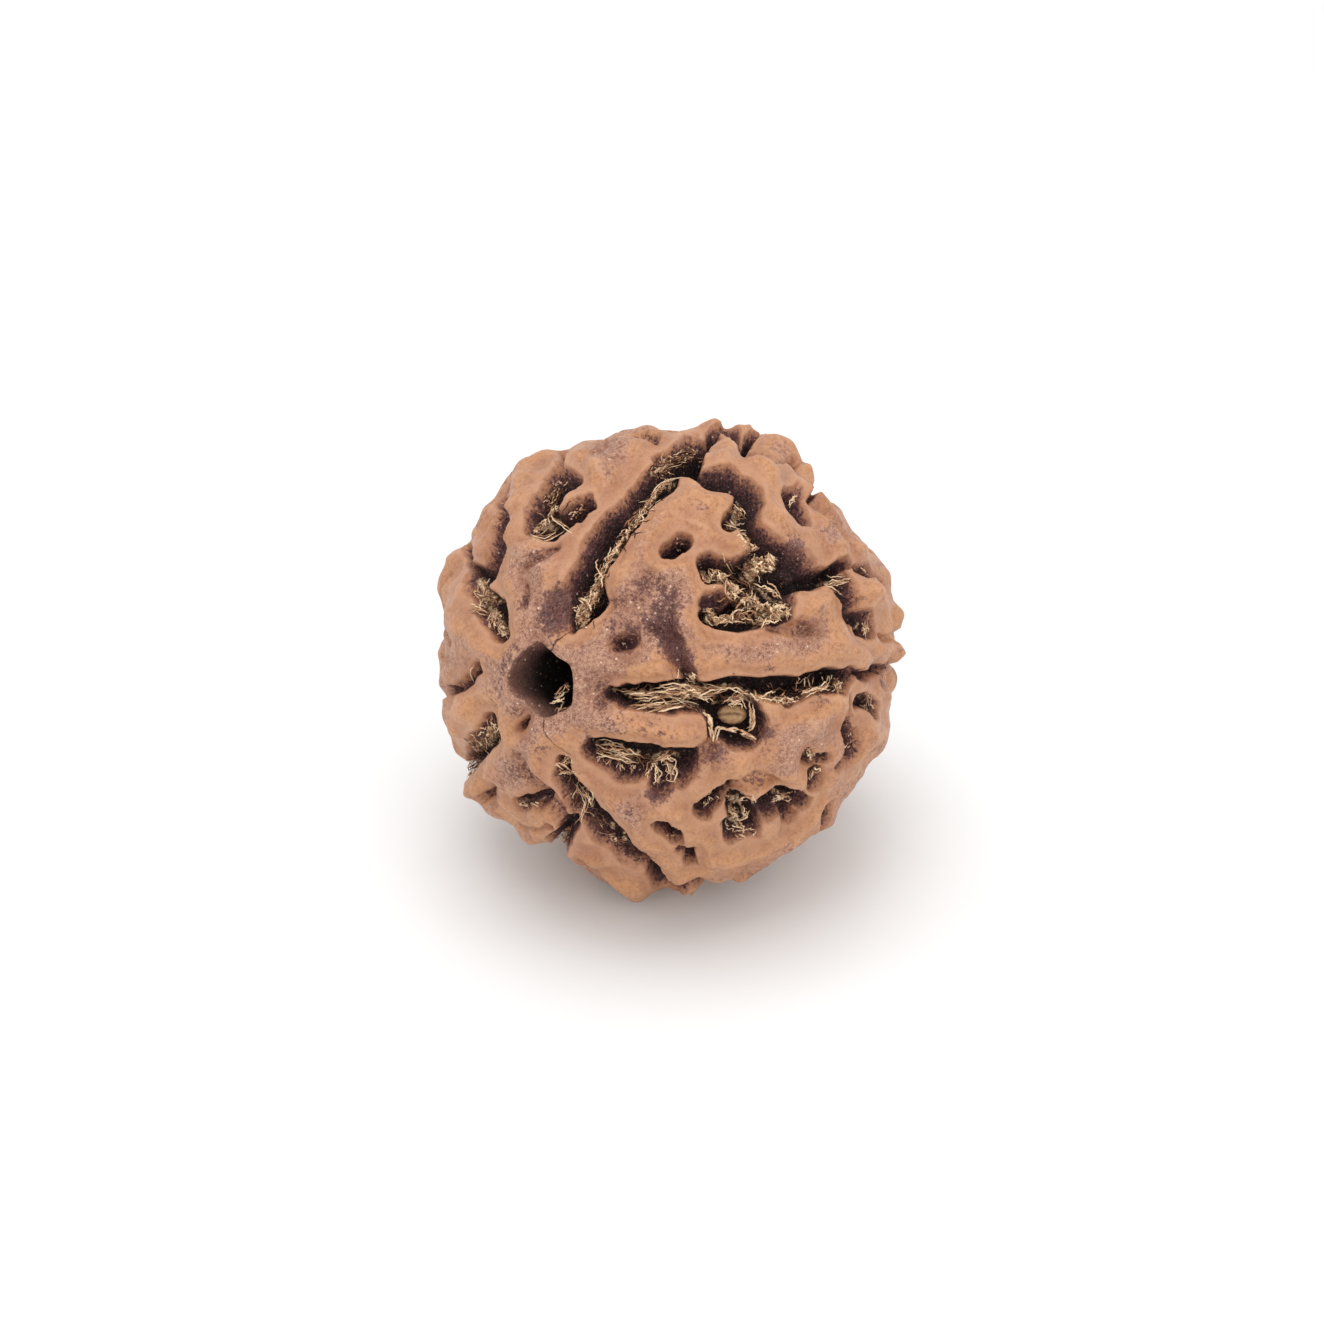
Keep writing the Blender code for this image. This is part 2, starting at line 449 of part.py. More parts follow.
def all_grooves():
    draw = random.Random(SEED)
    clefts = [cleft_to_far_pole(*row, draw) for row in CLEFTS]
    grooves = clefts + [drawn(*row) for row in GROOVES]
    grooves += branches(clefts, draw)
    grooves += pits(grooves, draw)
    far_mouth = (*(-AXIS * BODY_RADIUS), FAR_FLARE_RADIUS)
    grooves.append(groove(FAR_FLARE_DEPTH, FAR_FLARE_WALL, FAR_FLARE_WALL, [far_mouth, far_mouth]))
    return grooves


ALL_GROOVES = all_grooves()


def rim_distance(points, run, left, right):
    """Distance outside the groove's rim, and the wall's width there, for each point. EDGE_REACH stands for far away."""
    best = np.full(len(points), EDGE_REACH)
    wall = np.zeros(len(points))
    weight = np.full(len(points), LEAST_WEIGHT)
    for a, b in zip(run, run[1:]):
        along = b[:3] - a[:3]
        span = max(along @ along, 1e-9)
        middle = (a[:3] + b[:3]) / 2
        around = MOST_STRETCH * (EDGE_REACH + max(a[3], b[3])) + math.sqrt(span)
        near = np.flatnonzero(((points - middle) ** 2).sum(axis=1) < around**2)
        share = np.clip((points[near] - a[:3]) @ along / span, 0, 1)
        off = points[near] - a[:3] - share[:, None] * along
        sight = unit(middle - TOWARD * EYE_DISTANCE)
        facing = np.clip((unit(middle) @ -sight) / SQUARE_ENOUGH, 0, 1)
        off -= sight * (off @ sight)[:, None] * facing
        distance = np.sqrt((off**2).sum(axis=1))
        half = a[3] + share * (b[3] - a[3])
        beyond = distance - half
        side = off @ np.cross(unit(a[:3]), along) / (math.sqrt(span) * np.maximum(distance, 1e-6))
        width = np.minimum(right + (left - right) * (0.5 + 0.5 * side), half)
        best[near] = np.minimum(best[near], beyond)
        share = np.exp(-beyond / WALL_BLEND)
        wall[near] += share * width
        weight[near] += share
    return best, np.maximum(wall / weight, LEAST_WALL)


def groove_relief(points):
    """How deep the grooves cut at each point of the body, how far their edges are rounded off, and the welt's height."""
    cut, shoulder, welt = np.zeros((3, len(points)))
    for depth, left, right, run in ALL_GROOVES:
        centre = run[:, :3].mean(axis=0)
        extent = np.linalg.norm(run[:, :3] - centre, axis=1).max() + MOST_STRETCH * (run[:, 3].max() + EDGE_REACH)
        near = np.flatnonzero(((points - centre) ** 2).sum(axis=1) < extent**2)
        beyond, wall = rim_distance(points[near], run, left, right)
        outside = np.maximum(beyond, 0)
        reach = SHOULDER_REACHES[0] + wall * (SHOULDER_REACHES[1] - SHOULDER_REACHES[0])
        share = np.clip(-beyond / wall, 0, 1) ** WALL_LIP
        strength = min(1.0, depth / SHOULDER_FULL_DEPTH)
        cut[near] += (depth * share * share * (3 - 2 * share)) ** BLEND_POWER
        shoulder[near] += (strength * SHOULDER_DEPTH * np.exp(-(outside / reach) ** 2)) ** BLEND_POWER
        welt[near] += (strength * WELT_HEIGHT * np.exp(-((outside - WELT_OFFSET) / WELT_REACH) ** 2)) ** BLEND_POWER
    return cut ** (1 / BLEND_POWER), shoulder ** (1 / BLEND_POWER), welt ** (1 / BLEND_POWER)


def seed_radius(ways):
    """Distance from the centre to the seed's surface along each unit direction."""
    plain = plain_radius(ways)
    points = ways * plain[:, None]
    wavering = [WARP_REACH * waves(points, WARP_LENGTH, f"warp {k}") for k in "xyz"]
    fine = [FINE_WARP_REACH * waves(points, FINE_WARP_LENGTH, f"fine {k}") for k in "xyz"]
    cut, shoulder, welt = groove_relief(points + np.stack(wavering).T + np.stack(fine).T)
    in_groove = np.clip(cut / FLOOR_FULL_DEPTH, 0, 1)
    ripple = RIPPLE_HEIGHT * waves(points, RIPPLE_LENGTH, "ripple")
    floor = FLOOR_HEIGHT * in_groove * waves(points, FLOOR_LENGTH, "floor")
    return plain - cut - shoulder + welt * (1 - in_groove) + ripple + floor


def seed_brown():
    material = bpy.data.materials.new("seed_brown")
    material.use_nodes = True
    shader = material.node_tree.nodes["Principled BSDF"]
    shader.inputs["Base Color"].default_value = (0.45, 0.22, 0.13, 1.0)
    shader.inputs["Roughness"].default_value = 0.6
    shader.inputs["Metallic"].default_value = 0.0
    return material


def new_object(name, mesh_maker, collection):
    """An object whose mesh is what mesh_maker leaves in an empty bmesh."""
    shape = bmesh.new()
    mesh_maker(shape)
    mesh = bpy.data.meshes.new(name)
    shape.to_mesh(mesh)
    shape.free()
    made = bpy.data.objects.new(name, mesh)
    collection.objects.link(made)
    return made


def seed_body(collection):
    made = new_object(
        "rudraksha_seed",
        lambda shape: bmesh.ops.create_icosphere(shape, subdivisions=SPHERE_SUBDIVISIONS, radius=1.0),
        collection,
    )
    mesh = made.data
    ways = np.empty(len(mesh.vertices) * 3)
    mesh.vertices.foreach_get("co", ways)
    ways = units(ways.reshape(-1, 3))
    places = ways * seed_radius(ways)[:, None] + CENTRE
    mesh.vertices.foreach_set("co", (places * MM).ravel())
    mesh.shade_smooth()
    mesh.materials.append(seed_brown())
    return made


def lofted(name, rings, collection):
    """A closed mesh through rings of points with equal counts, in millimetres from the body's centre."""
    rings = np.asarray(rings)
    count, sides = rings.shape[:2]

    def fill(shape):
        points = [shape.verts.new(point) for point in (rings.reshape(-1, 3) + CENTRE) * MM]
        for first in range(0, (count - 1) * sides, sides):
            for k in range(sides):
                a, b = first + k, first + (k + 1) % sides
                shape.faces.new([points[a], points[b], points[b + sides], points[a + sides]])
        shape.faces.new(points[:sides][::-1])
        shape.faces.new(points[-sides:])
        bmesh.ops.recalc_face_normals(shape, faces=shape.faces)

    return new_object(name, fill, collection)


def hole_cutter(collection):
    """The threading hole: a round taper along the axis, wider at the near end, which opens into the drawn mouth."""
    side = unit(np.cross(AXIS, UP))
    other = np.cross(AXIS, side)
    turns = np.arange(HOLE_SIDES) * 2 * math.pi / HOLE_SIDES
    edge = on_body(MOUTH)
    mouth = np.interp(turns, np.arctan2(edge @ other, edge @ side), np.hypot(edge @ side, edge @ other),
                      period=2 * math.pi)
    narrow = MOUTH_LEVEL - MOUTH_DEPTH
    rings = []
    for height in (CUTTER_REACH, *np.linspace(MOUTH_LEVEL, narrow, MOUTH_RINGS), -CUTTER_REACH):
        share = (CUTTER_REACH - height) / (2 * CUTTER_REACH)
        radius = HOLE_RADIUS_NEAR + share * (HOLE_RADIUS_FAR - HOLE_RADIUS_NEAR)
        opening = min(1.0, max(0.0, (height - narrow) / MOUTH_DEPTH)) ** MOUTH_CURVE
        wide = radius + opening * (mouth - radius)
        rings.append([AXIS * height + far * (side * math.cos(turn) + other * math.sin(turn))
                      for turn, far in zip(turns, wide)])
    return lofted("hole_cutter", rings, collection)


def rest_cutter(collection):
    """A block below the ground plane, which leaves the seed its small flat spot."""
    made = new_object(
        "rest_cutter", lambda shape: bmesh.ops.create_cube(shape, size=REST_BLOCK * MM), collection)
    made.location = (0, 0, -REST_BLOCK / 2 * MM)
    return made


def add_cut(target, cutter):
    cutter.hide_render = True
    cutter.display_type = "WIRE"
    cut = target.modifiers.new(cutter.name, "BOOLEAN")
    cut.operation = "DIFFERENCE"
    cut.solver = "EXACT"
    cut.object = cutter


def new_collection(name):
    made = bpy.data.collections.new(name)
    bpy.context.scene.collection.children.link(made)
    return made


def build():
    for old in list(bpy.data.objects):
        bpy.data.objects.remove(old)
    parts = new_collection("rudraksha_seed")
    cutters = new_collection("cutters")
    seed = seed_body(parts)
    fewer = seed.modifiers.new("fewer_triangles", "DECIMATE")
    fewer.ratio = TRIANGLES / len(seed.data.polygons)
    add_cut(seed, hole_cutter(cutters))
    add_cut(seed, rest_cutter(cutters))


build()
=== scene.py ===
"""The looks of a rudraksha seed: its carved surface in fine triangles, the dry fibres in its clefts and
pits, and a plain studio round it.

The relief repeats the one in the part's source: it is drawn as seen from the camera, and each point of that
drawing is carried along its line of sight onto the round body. A point outside the body's outline stands for
one behind it. The rest of the body is filled by a seeded rule.
Lengths are in millimetres and angles in degrees, until a mesh is made in metres.
"""

import math
import random

import bmesh
import bpy
import numpy as np
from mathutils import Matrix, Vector, noise
from mathutils.bvhtree import BVHTree


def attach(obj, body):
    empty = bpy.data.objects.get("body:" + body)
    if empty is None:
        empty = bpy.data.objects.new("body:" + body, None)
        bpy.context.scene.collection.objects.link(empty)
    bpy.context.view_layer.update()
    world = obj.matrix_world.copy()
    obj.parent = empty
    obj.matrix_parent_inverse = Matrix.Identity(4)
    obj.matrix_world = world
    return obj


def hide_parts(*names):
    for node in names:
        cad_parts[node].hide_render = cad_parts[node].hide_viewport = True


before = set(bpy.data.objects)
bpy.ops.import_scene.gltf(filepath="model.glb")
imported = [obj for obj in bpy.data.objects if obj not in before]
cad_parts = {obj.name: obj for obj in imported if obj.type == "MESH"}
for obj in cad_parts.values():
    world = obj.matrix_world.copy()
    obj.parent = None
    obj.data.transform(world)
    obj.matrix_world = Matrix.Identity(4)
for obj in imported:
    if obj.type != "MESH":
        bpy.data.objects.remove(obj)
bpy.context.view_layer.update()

MM = 0.001

# Driving dimensions, as in the part's source
BODY_RADIUS = 11.4
CENTRE_HEIGHT = 11.0
HOLE_RADIUS_NEAR = 1.5
HOLE_RADIUS_FAR = 1.05

# The eye point of the drawing, which is also the camera's
EYE_ELEVATION = 32.0
EYE_DISTANCE = 156.0

# The threading hole's mouth in the drawing, and the place from which angles round the hole's axis count
HOLE_MOUTH = (-6.3, -1.05)
MERIDIAN_PLACE = (4.0, -1.6)
MOUTH = (
    (-6.85, 0.8), (-6.15, 0.4), (-5.55, 0.0), (-5.05, -0.4), (-4.87, -0.85), (-4.9, -1.6), (-4.95, -2.35),
    (-5.55, -2.7), (-6.3, -2.95), (-6.8, -2.7), (-7.3, -2.1), (-8.15, -1.1), (-7.9, -0.5), (-7.55, 0.15),
    (-7.2, 0.55),
)
MOUTH_LEVEL = 11.0
MOUTH_DEPTH = 1.4
MOUTH_CURVE = 1.3
FAR_FLARE_DEPTH = 1.0
FAR_FLARE_RADIUS = 1.5
FAR_FLARE_WALL = 0.5

# Main clefts: angle round the hole's axis on the unseen side, depth, width of the wall on the left and on
# the right of the run, then (across, up, half width) along it
CLEFTS = (
    (75.0, 2.0, 0.9, 0.35, (
        (-4.95, 1.6, 0.35), (-4.6, 2.5, 0.72), (-4.3, 3.4, 0.92), (-4.1, 4.3, 0.9), (-3.7, 5.25, 0.85),
        (-3.0, 6.3, 0.75), (-2.1, 7.3, 0.7), (-1.3, 8.3, 0.74), (-0.5, 9.25, 0.76), (0.5, 10.05, 0.72),
        (1.4, 10.6, 0.55), (2.3, 10.9, 0.38), (3.1, 10.95, 0.28), (3.8, 11.1, 0.2), (4.3, 11.7, 0.2))),
    (150.0, 1.3, 0.5, 0.3, (
        (-8.45, 1.25, 0.4), (-8.8, 1.8, 0.6), (-9.15, 2.5, 0.72), (-9.45, 3.2, 0.72), (-9.7, 3.9, 0.6),
        (-10.05, 4.7, 0.25), (-10.35, 5.5, 0.15), (-10.6, 6.2, 0.15))),
    (190.0, 0.8, 0.3, 0.5, (
        (-9.5, -0.5, 0.3), (-10.0, -1.0, 0.28), (-10.5, -1.5, 0.25), (-11.2, -1.8, 0.25))),
    (230.0, 1.4, 0.3, 0.5, (
        (-9.1, -3.2, 0.4), (-9.3, -3.8, 0.6), (-9.7, -4.5, 0.65), (-10.1, -5.2, 0.5), (-10.6, -5.9, 0.3))),
    (284.0, 1.6, 0.25, 0.9, (
        (-5.5, -5.0, 0.3), (-5.35, -5.9, 0.5), (-4.9, -6.85, 0.6), (-4.3, -7.6, 0.58), (-3.55, -8.4, 0.62),
        (-2.8, -9.15, 0.62), (-2.0, -9.9, 0.58), (-1.1, -10.5, 0.5), (-0.2, -11.0, 0.42),
        (0.8, -11.6, 0.35))),
    (0.0, 1.0, 0.4, 0.4, ((9.6, -0.95, 0.35), (10.4, -0.6, 0.25), (11.2, -0.5, 0.25))),
)
# Other grooves and pits: depth, wall on the left, wall on the right, run
GROOVES = (
    # Seen stretch of the middle cleft
    (1.9, 0.3, 0.4, ((-3.2, -1.7, 0.3), (-2.2, -1.9, 0.55), (-1.0, -1.98, 0.68), (0.5, -1.95, 0.72),
                     (2.0, -1.9, 0.78), (3.5, -1.72, 0.76), (5.0, -1.62, 0.66), (6.5, -1.47, 0.62),
                     (7.8, -1.2, 0.58), (8.8, -1.0, 0.45))),
    # Between the upper cleft and the middle cleft
    (0.55, 0.7, 0.6, ((-5.8, 1.7, 0.6), (-5.4, 3.1, 0.65))),
    (1.9, 0.6, 0.3, ((0.9, 9.4, 0.45), (1.8, 9.2, 0.52), (2.8, 9.05, 0.5), (3.65, 8.6, 0.55),
                     (4.25, 8.15, 0.5), (4.1, 7.6, 0.5))),
    (1.8, 0.35, 0.3, ((3.85, 7.7, 0.6), (4.0, 6.9, 0.58), (4.3, 6.1, 0.6), (4.8, 5.4, 0.64),
                      (5.5, 5.0, 0.62))),
    (1.3, 0.3, 0.3, ((2.95, 6.85, 0.38), (3.35, 7.4, 0.42), (3.6, 7.9, 0.5))),
    (1.3, 0.8, 0.8, ((5.6, 4.9, 0.75), (6.4, 4.8, 0.75), (7.1, 4.3, 0.45))),
    (1.8, 0.3, 0.3, ((2.0, 4.5, 0.68), (3.1, 4.35, 0.55), (4.2, 4.5, 0.8), (5.0, 4.4, 0.85))),
    (1.7, 0.3, 0.2, ((3.9, 3.75, 0.85), (5.05, 3.5, 0.95), (5.6, 4.1, 0.75))),
    (1.5, 0.2, 0.3, ((1.9, 2.1, 0.4), (2.8, 2.0, 0.5), (3.5, 2.2, 0.75), (4.3, 2.45, 0.9),
                     (5.35, 2.65, 0.85))),
    (0.8, 0.5, 0.5, ((1.9, 2.8, 0.5), (2.6, 2.9, 0.45))),
    (1.6, 0.35, 0.25, ((6.0, 3.95, 0.5), (7.0, 4.0, 0.45), (8.0, 4.25, 0.55), (8.6, 4.5, 0.38))),
    (1.3, 0.4, 0.25, ((8.1, 4.0, 0.4), (8.75, 3.3, 0.42), (8.95, 2.4, 0.32), (8.95, 1.5, 0.25))),
    (1.2, 0.35, 0.35, ((9.65, 2.05, 0.5), (9.75, 1.5, 0.5))),
    (0.9, 0.3, 0.3, ((9.4, 4.45, 0.3), (9.95, 4.15, 0.32), (10.35, 3.7, 0.25))),
    (0.5, 0.4, 0.4, ((5.1, 1.4, 0.35), (6.0, 1.5, 0.45), (7.0, 1.4, 0.4))),
    (1.3, 0.35, 0.35, ((0.15, 5.4, 0.48), (0.6, 5.85, 0.48))),
    (0.75, 0.35, 0.35, ((-2.55, 0.85, 0.36), (-2.0, 0.88, 0.38))),
    (0.4, 0.6, 0.6, ((-1.2, 4.3, 0.5), (-0.5, 3.2, 0.6), (-0.2, 2.2, 0.6))),
    (0.3, 0.6, 0.6, ((-2.9, 2.9, 0.5), (-1.5, 2.6, 0.6), (-0.3, 2.5, 0.6))),
    (0.6, 0.5, 0.5, ((-0.1, 1.2, 0.25), (0.15, 0.5, 0.4), (0.45, -0.1, 0.3), (0.85, -0.75, 0.45),
                     (1.0, -1.2, 0.5))),
    (0.9, 0.4, 0.4, ((0.75, -0.65, 0.25), (0.95, -1.0, 0.38), (1.1, -1.5, 0.4))),
    (0.4, 0.4, 0.4, ((0.1, 0.7, 0.3), (-1.1, 1.5, 0.3))),
    (0.4, 0.4, 0.4, ((0.2, 0.5, 0.3), (-0.2, 1.9, 0.25))),
    (1.3, 0.3, 0.5, ((5.95, 8.35, 0.32), (6.2, 7.6, 0.42), (6.65, 6.9, 0.36))),
    (0.6, 0.4, 0.15, ((2.9, 10.8, 0.18), (3.5, 10.4, 0.28), (4.4, 10.2, 0.32), (5.4, 10.1, 0.3),
                      (6.3, 9.8, 0.2))),
    (0.9, 0.3, 0.4, ((6.9, 7.9, 0.15), (7.4, 8.7, 0.3), (8.2, 9.7, 0.35), (9.3, 11.1, 0.35))),
    (0.5, 0.2, 0.15, ((7.0, 8.0, 0.2), (7.8, 7.0, 0.22), (8.5, 6.1, 0.25), (9.0, 5.5, 0.2))),
    # Beyond the upper cleft
    (1.6, 0.35, 0.4, ((-6.8, 6.75, 0.55), (-6.1, 6.65, 0.62), (-5.5, 6.85, 0.45))),
    (1.6, 0.5, 0.3, ((-6.7, 7.2, 0.55), (-6.15, 7.9, 0.62), (-5.75, 8.55, 0.72), (-5.1, 9.0, 0.52))),
    (1.4, 0.3, 0.3, ((-5.3, 7.05, 0.3), (-4.7, 7.4, 0.36), (-4.05, 7.8, 0.4))),
    (0.4, 0.25, 0.2, ((-7.0, 4.5, 0.22), (-6.4, 5.0, 0.3), (-5.8, 5.5, 0.22))),
    (0.35, 0.12, 0.12, ((-7.0, 3.4, 0.1), (-7.05, 2.7, 0.1))),
    (0.9, 0.45, 0.2, ((-8.3, 9.3, 0.15), (-8.2, 8.5, 0.2), (-8.3, 7.8, 0.25), (-8.45, 7.0, 0.35),
                      (-8.6, 6.0, 0.4), (-8.65, 5.2, 0.38), (-8.95, 4.6, 0.3), (-9.3, 4.2, 0.3))),
    (0.8, 0.2, 0.2, ((-10.1, 5.6, 0.15), (-10.0, 4.8, 0.2), (-9.8, 4.2, 0.3))),
    (0.6, 0.3, 0.3, ((-5.3, 10.35, 0.28), (-5.5, 9.6, 0.28))),
    (0.35, 0.2, 0.2, ((-3.4, 10.75, 0.15), (-3.55, 10.2, 0.18), (-4.4, 9.9, 0.15))),
    (0.7, 0.35, 0.3, ((-1.5, 10.95, 0.3), (-0.9, 10.95, 0.35))),
    (0.4, 0.3, 0.3, ((-10.95, 4.0, 0.12), (-10.95, 2.4, 0.15), (-10.8, 0.8, 0.15))),
    (0.45, 0.5, 0.5, ((-10.9, 0.0, 0.2), (-11.6, 0.0, 0.3), (-12.4, 0.1, 0.3))),
    (0.45, 0.6, 0.6, ((10.5, 1.1, 0.2), (11.6, 1.2, 0.35), (12.6, 1.3, 0.35))),
    (0.7, 0.6, 0.5, ((10.5, -1.15, 0.2), (11.4, -1.2, 0.4), (12.4, -1.2, 0.4))),
    # Between the middle cleft and the lower cleft
    (1.7, 0.3, 0.25, ((2.6, -3.0, 0.72), (3.2, -3.4, 0.92), (3.85, -3.85, 0.75))),
    (1.4, 0.2, 0.3, ((3.75, -2.4, 0.4), (4.1, -3.3, 0.6))),
    (1.3, 0.3, 0.3, ((1.5, -2.42, 0.25), (1.85, -2.75, 0.3))),
    (1.1, 0.3, 0.4, ((2.05, -3.2, 0.25), (2.1, -3.9, 0.28))),
    (0.5, 0.6, 0.6, ((2.0, -4.4, 0.45), (1.0, -5.2, 0.6))),
    (1.6, 0.3, 0.7, ((-3.9, -4.6, 0.55), (-3.0, -5.0, 0.85), (-2.0, -5.15, 0.85), (-1.0, -5.35, 0.92),
                     (0.0, -5.5, 1.0), (0.7, -5.35, 0.85))),
    (1.2, 0.5, 0.5, ((-0.4, -6.1, 0.7), (-0.75, -6.55, 0.5))),
    (1.8, 0.3, 0.3, ((1.65, -7.5, 0.62), (2.2, -7.05, 0.47), (2.9, -6.6, 0.28))),
    (0.55, 0.2, 0.5, ((3.1, -6.45, 0.35), (4.1, -6.15, 0.42), (5.1, -6.05, 0.3))),
    (1.7, 0.3, 0.35, ((3.5, -7.4, 0.55), (3.8, -8.1, 0.78), (3.1, -8.6, 0.57))),
    (1.6, 0.3, 0.4, ((4.5, -7.35, 0.38), (5.3, -7.35, 0.58), (6.2, -7.1, 0.5))),
    (1.1, 0.5, 0.5, ((5.6, -6.85, 0.35), (5.9, -7.8, 0.45))),
    (1.5, 0.25, 0.25, ((-0.4, -8.6, 0.38), (0.15, -8.9, 0.38))),
    (1.1, 0.2, 0.2, ((0.45, -9.75, 0.27), (0.9, -9.8, 0.3))),
    (0.5, 0.4, 0.4, ((3.6, -10.3, 0.4), (4.2, -10.15, 0.35))),
    (0.8, 0.25, 0.25, ((6.8, -4.7, 0.22), (7.1, -5.0, 0.28), (7.5, -4.85, 0.22))),
    (0.8, 0.3, 0.3, ((7.35, -5.7, 0.32), (6.9, -6.2, 0.28))),
    (1.2, 0.4, 0.4, ((9.6, -2.25, 0.42), (10.1, -2.55, 0.42))),
    (0.9, 0.5, 0.2, ((8.85, -2.1, 0.22), (8.8, -3.3, 0.32), (8.95, -4.1, 0.38), (8.9, -4.8, 0.3),
                     (8.4, -5.4, 0.2))),
    (0.8, 0.5, 0.15, ((8.7, -6.3, 0.2), (7.8, -7.2, 0.4), (7.1, -8.1, 0.45), (6.4, -9.0, 0.4),
                      (5.6, -9.6, 0.25))),
    # Beyond the lower cleft
    (1.5, 0.6, 0.5, ((-5.0, -8.1, 0.2), (-5.4, -8.9, 0.5), (-5.8, -9.9, 0.65), (-6.5, -11.4, 0.7),
                     (-7.8, -13.4, 0.6))),
    (0.6, 0.35, 0.35, ((-7.7, -4.9, 0.15), (-7.0, -5.8, 0.3), (-6.4, -6.7, 0.35), (-5.85, -7.5, 0.35),
                       (-5.35, -8.2, 0.3))),
    (0.7, 0.25, 0.25, ((-9.3, -6.75, 0.26), (-9.0, -6.75, 0.26))),
    (1.0, 0.25, 0.35, ((-7.7, -7.3, 0.25), (-6.9, -7.15, 0.28), (-6.3, -7.3, 0.35))),
    (0.6, 0.3, 0.3, ((-7.2, -8.2, 0.22), (-6.2, -8.4, 0.3))),
    (0.9, 0.2, 0.2, ((-7.35, -3.0, 0.1), (-7.45, -3.25, 0.16))),
    (0.6, 0.15, 0.4, ((-4.4, -9.8, 0.16), (-3.6, -10.4, 0.22), (-2.7, -10.9, 0.18))),
)
# Knobs, and hollows where the height is negative: height, reach, place in the drawing
KNOBS = (
    (0.5, 0.9, (-11.6, 3.55)), (0.35, 0.9, (-10.9, 5.2)), (0.8, 0.7, (2.2, 12.0)),
    (0.6, 0.75, (3.6, 11.75)), (0.7, 1.3, (5.0, 11.3)), (0.5, 1.1, (6.4, 10.5)), (0.7, 0.75, (11.7, 2.1)),
    (0.6, 0.8, (11.8, 0.2)), (0.9, 1.0, (-10.3, -6.5)), (0.5, 1.1, (-6.9, -9.1)), (0.7, 1.5, (-1.7, -11.9)),
    (0.9, 0.75, (9.85, 3.2)), (0.3, 0.6, (7.5, 8.2)), (0.5, 2.0, (-7.3, 9.6)), (0.3, 1.5, (-9.6, 7.0)),
    (-0.35, 1.6, (-3.4, 11.2)), (0.3, 0.9, (3.3, 5.7)), (0.25, 1.0, (-4.0, 9.4)), (0.25, 0.9, (2.9, 8.2)),
    (0.35, 1.0, (7.4, 2.7)), (-0.7, 2.0, (9.2, 7.2)), (0.6, 1.2, (8.0, -9.2)), (0.3, 2.2, (3.6, -11.3)),
    (0.45, 1.7, (10.8, -4.6)), (0.3, 1.2, (-4.8, -10.2)), (0.5, 1.2, (10.9, 4.2)),
    (0.3, 0.8, (-11.3, -0.6)), (-0.2, 0.9, (-11.45, 0.1)), (0.3, 1.3, (-11.0, -2.6)),
    (-0.7, 1.0, (-9.8, -5.5)), (0.25, 1.0, (0.9, -3.5)), (0.25, 0.8, (-0.6, -0.5)),
    (-0.4, 1.6, (-11.4, 1.9)), (0.3, 1.0, (-9.2, -7.6)), (0.25, 0.9, (5.2, -2.9)), (0.25, 0.9, (3.2, -5.2)),
    (0.25, 1.1, (-6.9, 8.9)), (0.25, 1.1, (4.9, 7.2)), (0.2, 1.2, (-3.2, -3.3)), (0.25, 1.0, (-1.6, 5.6)),
    (0.6, 1.0, (-5.6, -7.0)), (0.4, 0.8, (-6.2, -5.8)), (-1.0, 0.9, (-5.75, -9.9)),
    (-0.3, 0.9, (-6.8, -9.4)), (-0.2, 0.8, (11.4, 1.2)), (-0.2, 0.9, (11.4, -1.2)),
    (-0.4, 1.0, (-1.3, 11.6)), (0.8, 1.3, (0.8, -11.6)), (0.4, 0.7, (3.55, -10.95)),
    (0.4, 0.7, (6.75, 9.3)), (0.3, 1.2, (-2.4, -12.0)),
)
# Cracks: half width, depth, run in the drawing
CRACKS = (
    (0.08, 0.5, ((-5.95, 0.0), (-5.75, 0.35), (-5.6, 0.75), (-5.4, 1.0), (-5.0, 1.5), (-4.7, 1.7))),
    (0.055, 0.4, ((-6.15, -2.6), (-6.1, -3.0), (-6.05, -3.45), (-5.75, -4.0), (-5.4, -4.5), (-4.95, -4.8))),
)

# Slow swelling and fine ripple of the body
LEAN_HEIGHT = 0.3
SWELL_HEIGHT = 0.1
SWELL_LENGTH = 5.0
RIPPLE_HEIGHT = 0.09
RIPPLE_LENGTH = 2.0
FLOOR_HEIGHT = 0.07
FLOOR_LENGTH = 1.1
FLOOR_FULL_DEPTH = 1.2
WAVES_IN_SUM = 16

# Wavering of the grooves' edges
WARP_REACH = 0.1
WARP_LENGTH = 2.3
FINE_WARP_REACH = 0.03
FINE_WARP_LENGTH = 0.8

# Section through a groove: its wall, the rounded shoulder outside its rim, and the low welt beyond that
HALF_WIDTH_GAIN = 0.1
WALL_LIP = 0.8
SHOULDER_DEPTH = 0.38
# Reach of the shoulder beside a sheer wall and beside one a millimetre wide
SHOULDER_REACHES = (0.35, 0.85)
SHOULDER_FULL_DEPTH = 1.2
WELT_HEIGHT = 0.09
WELT_OFFSET = 0.75
WELT_REACH = 0.4
EDGE_REACH = 1.9
WALL_BLEND = 0.15
LEAST_WALL = 0.1
LEAST_WEIGHT = 1e-9
LEAST_SPAN = 1e-9
LEAST_DISTANCE = 1e-6
BLEND_POWER = 4.0
# Widths are as the drawing shows them wherever the eye sees the body at least this squarely
SQUARE_ENOUGH = 0.45
MOST_STRETCH = 2.2
STEPS_IN_SPAN = 6
SETTLING_ROUNDS = 4

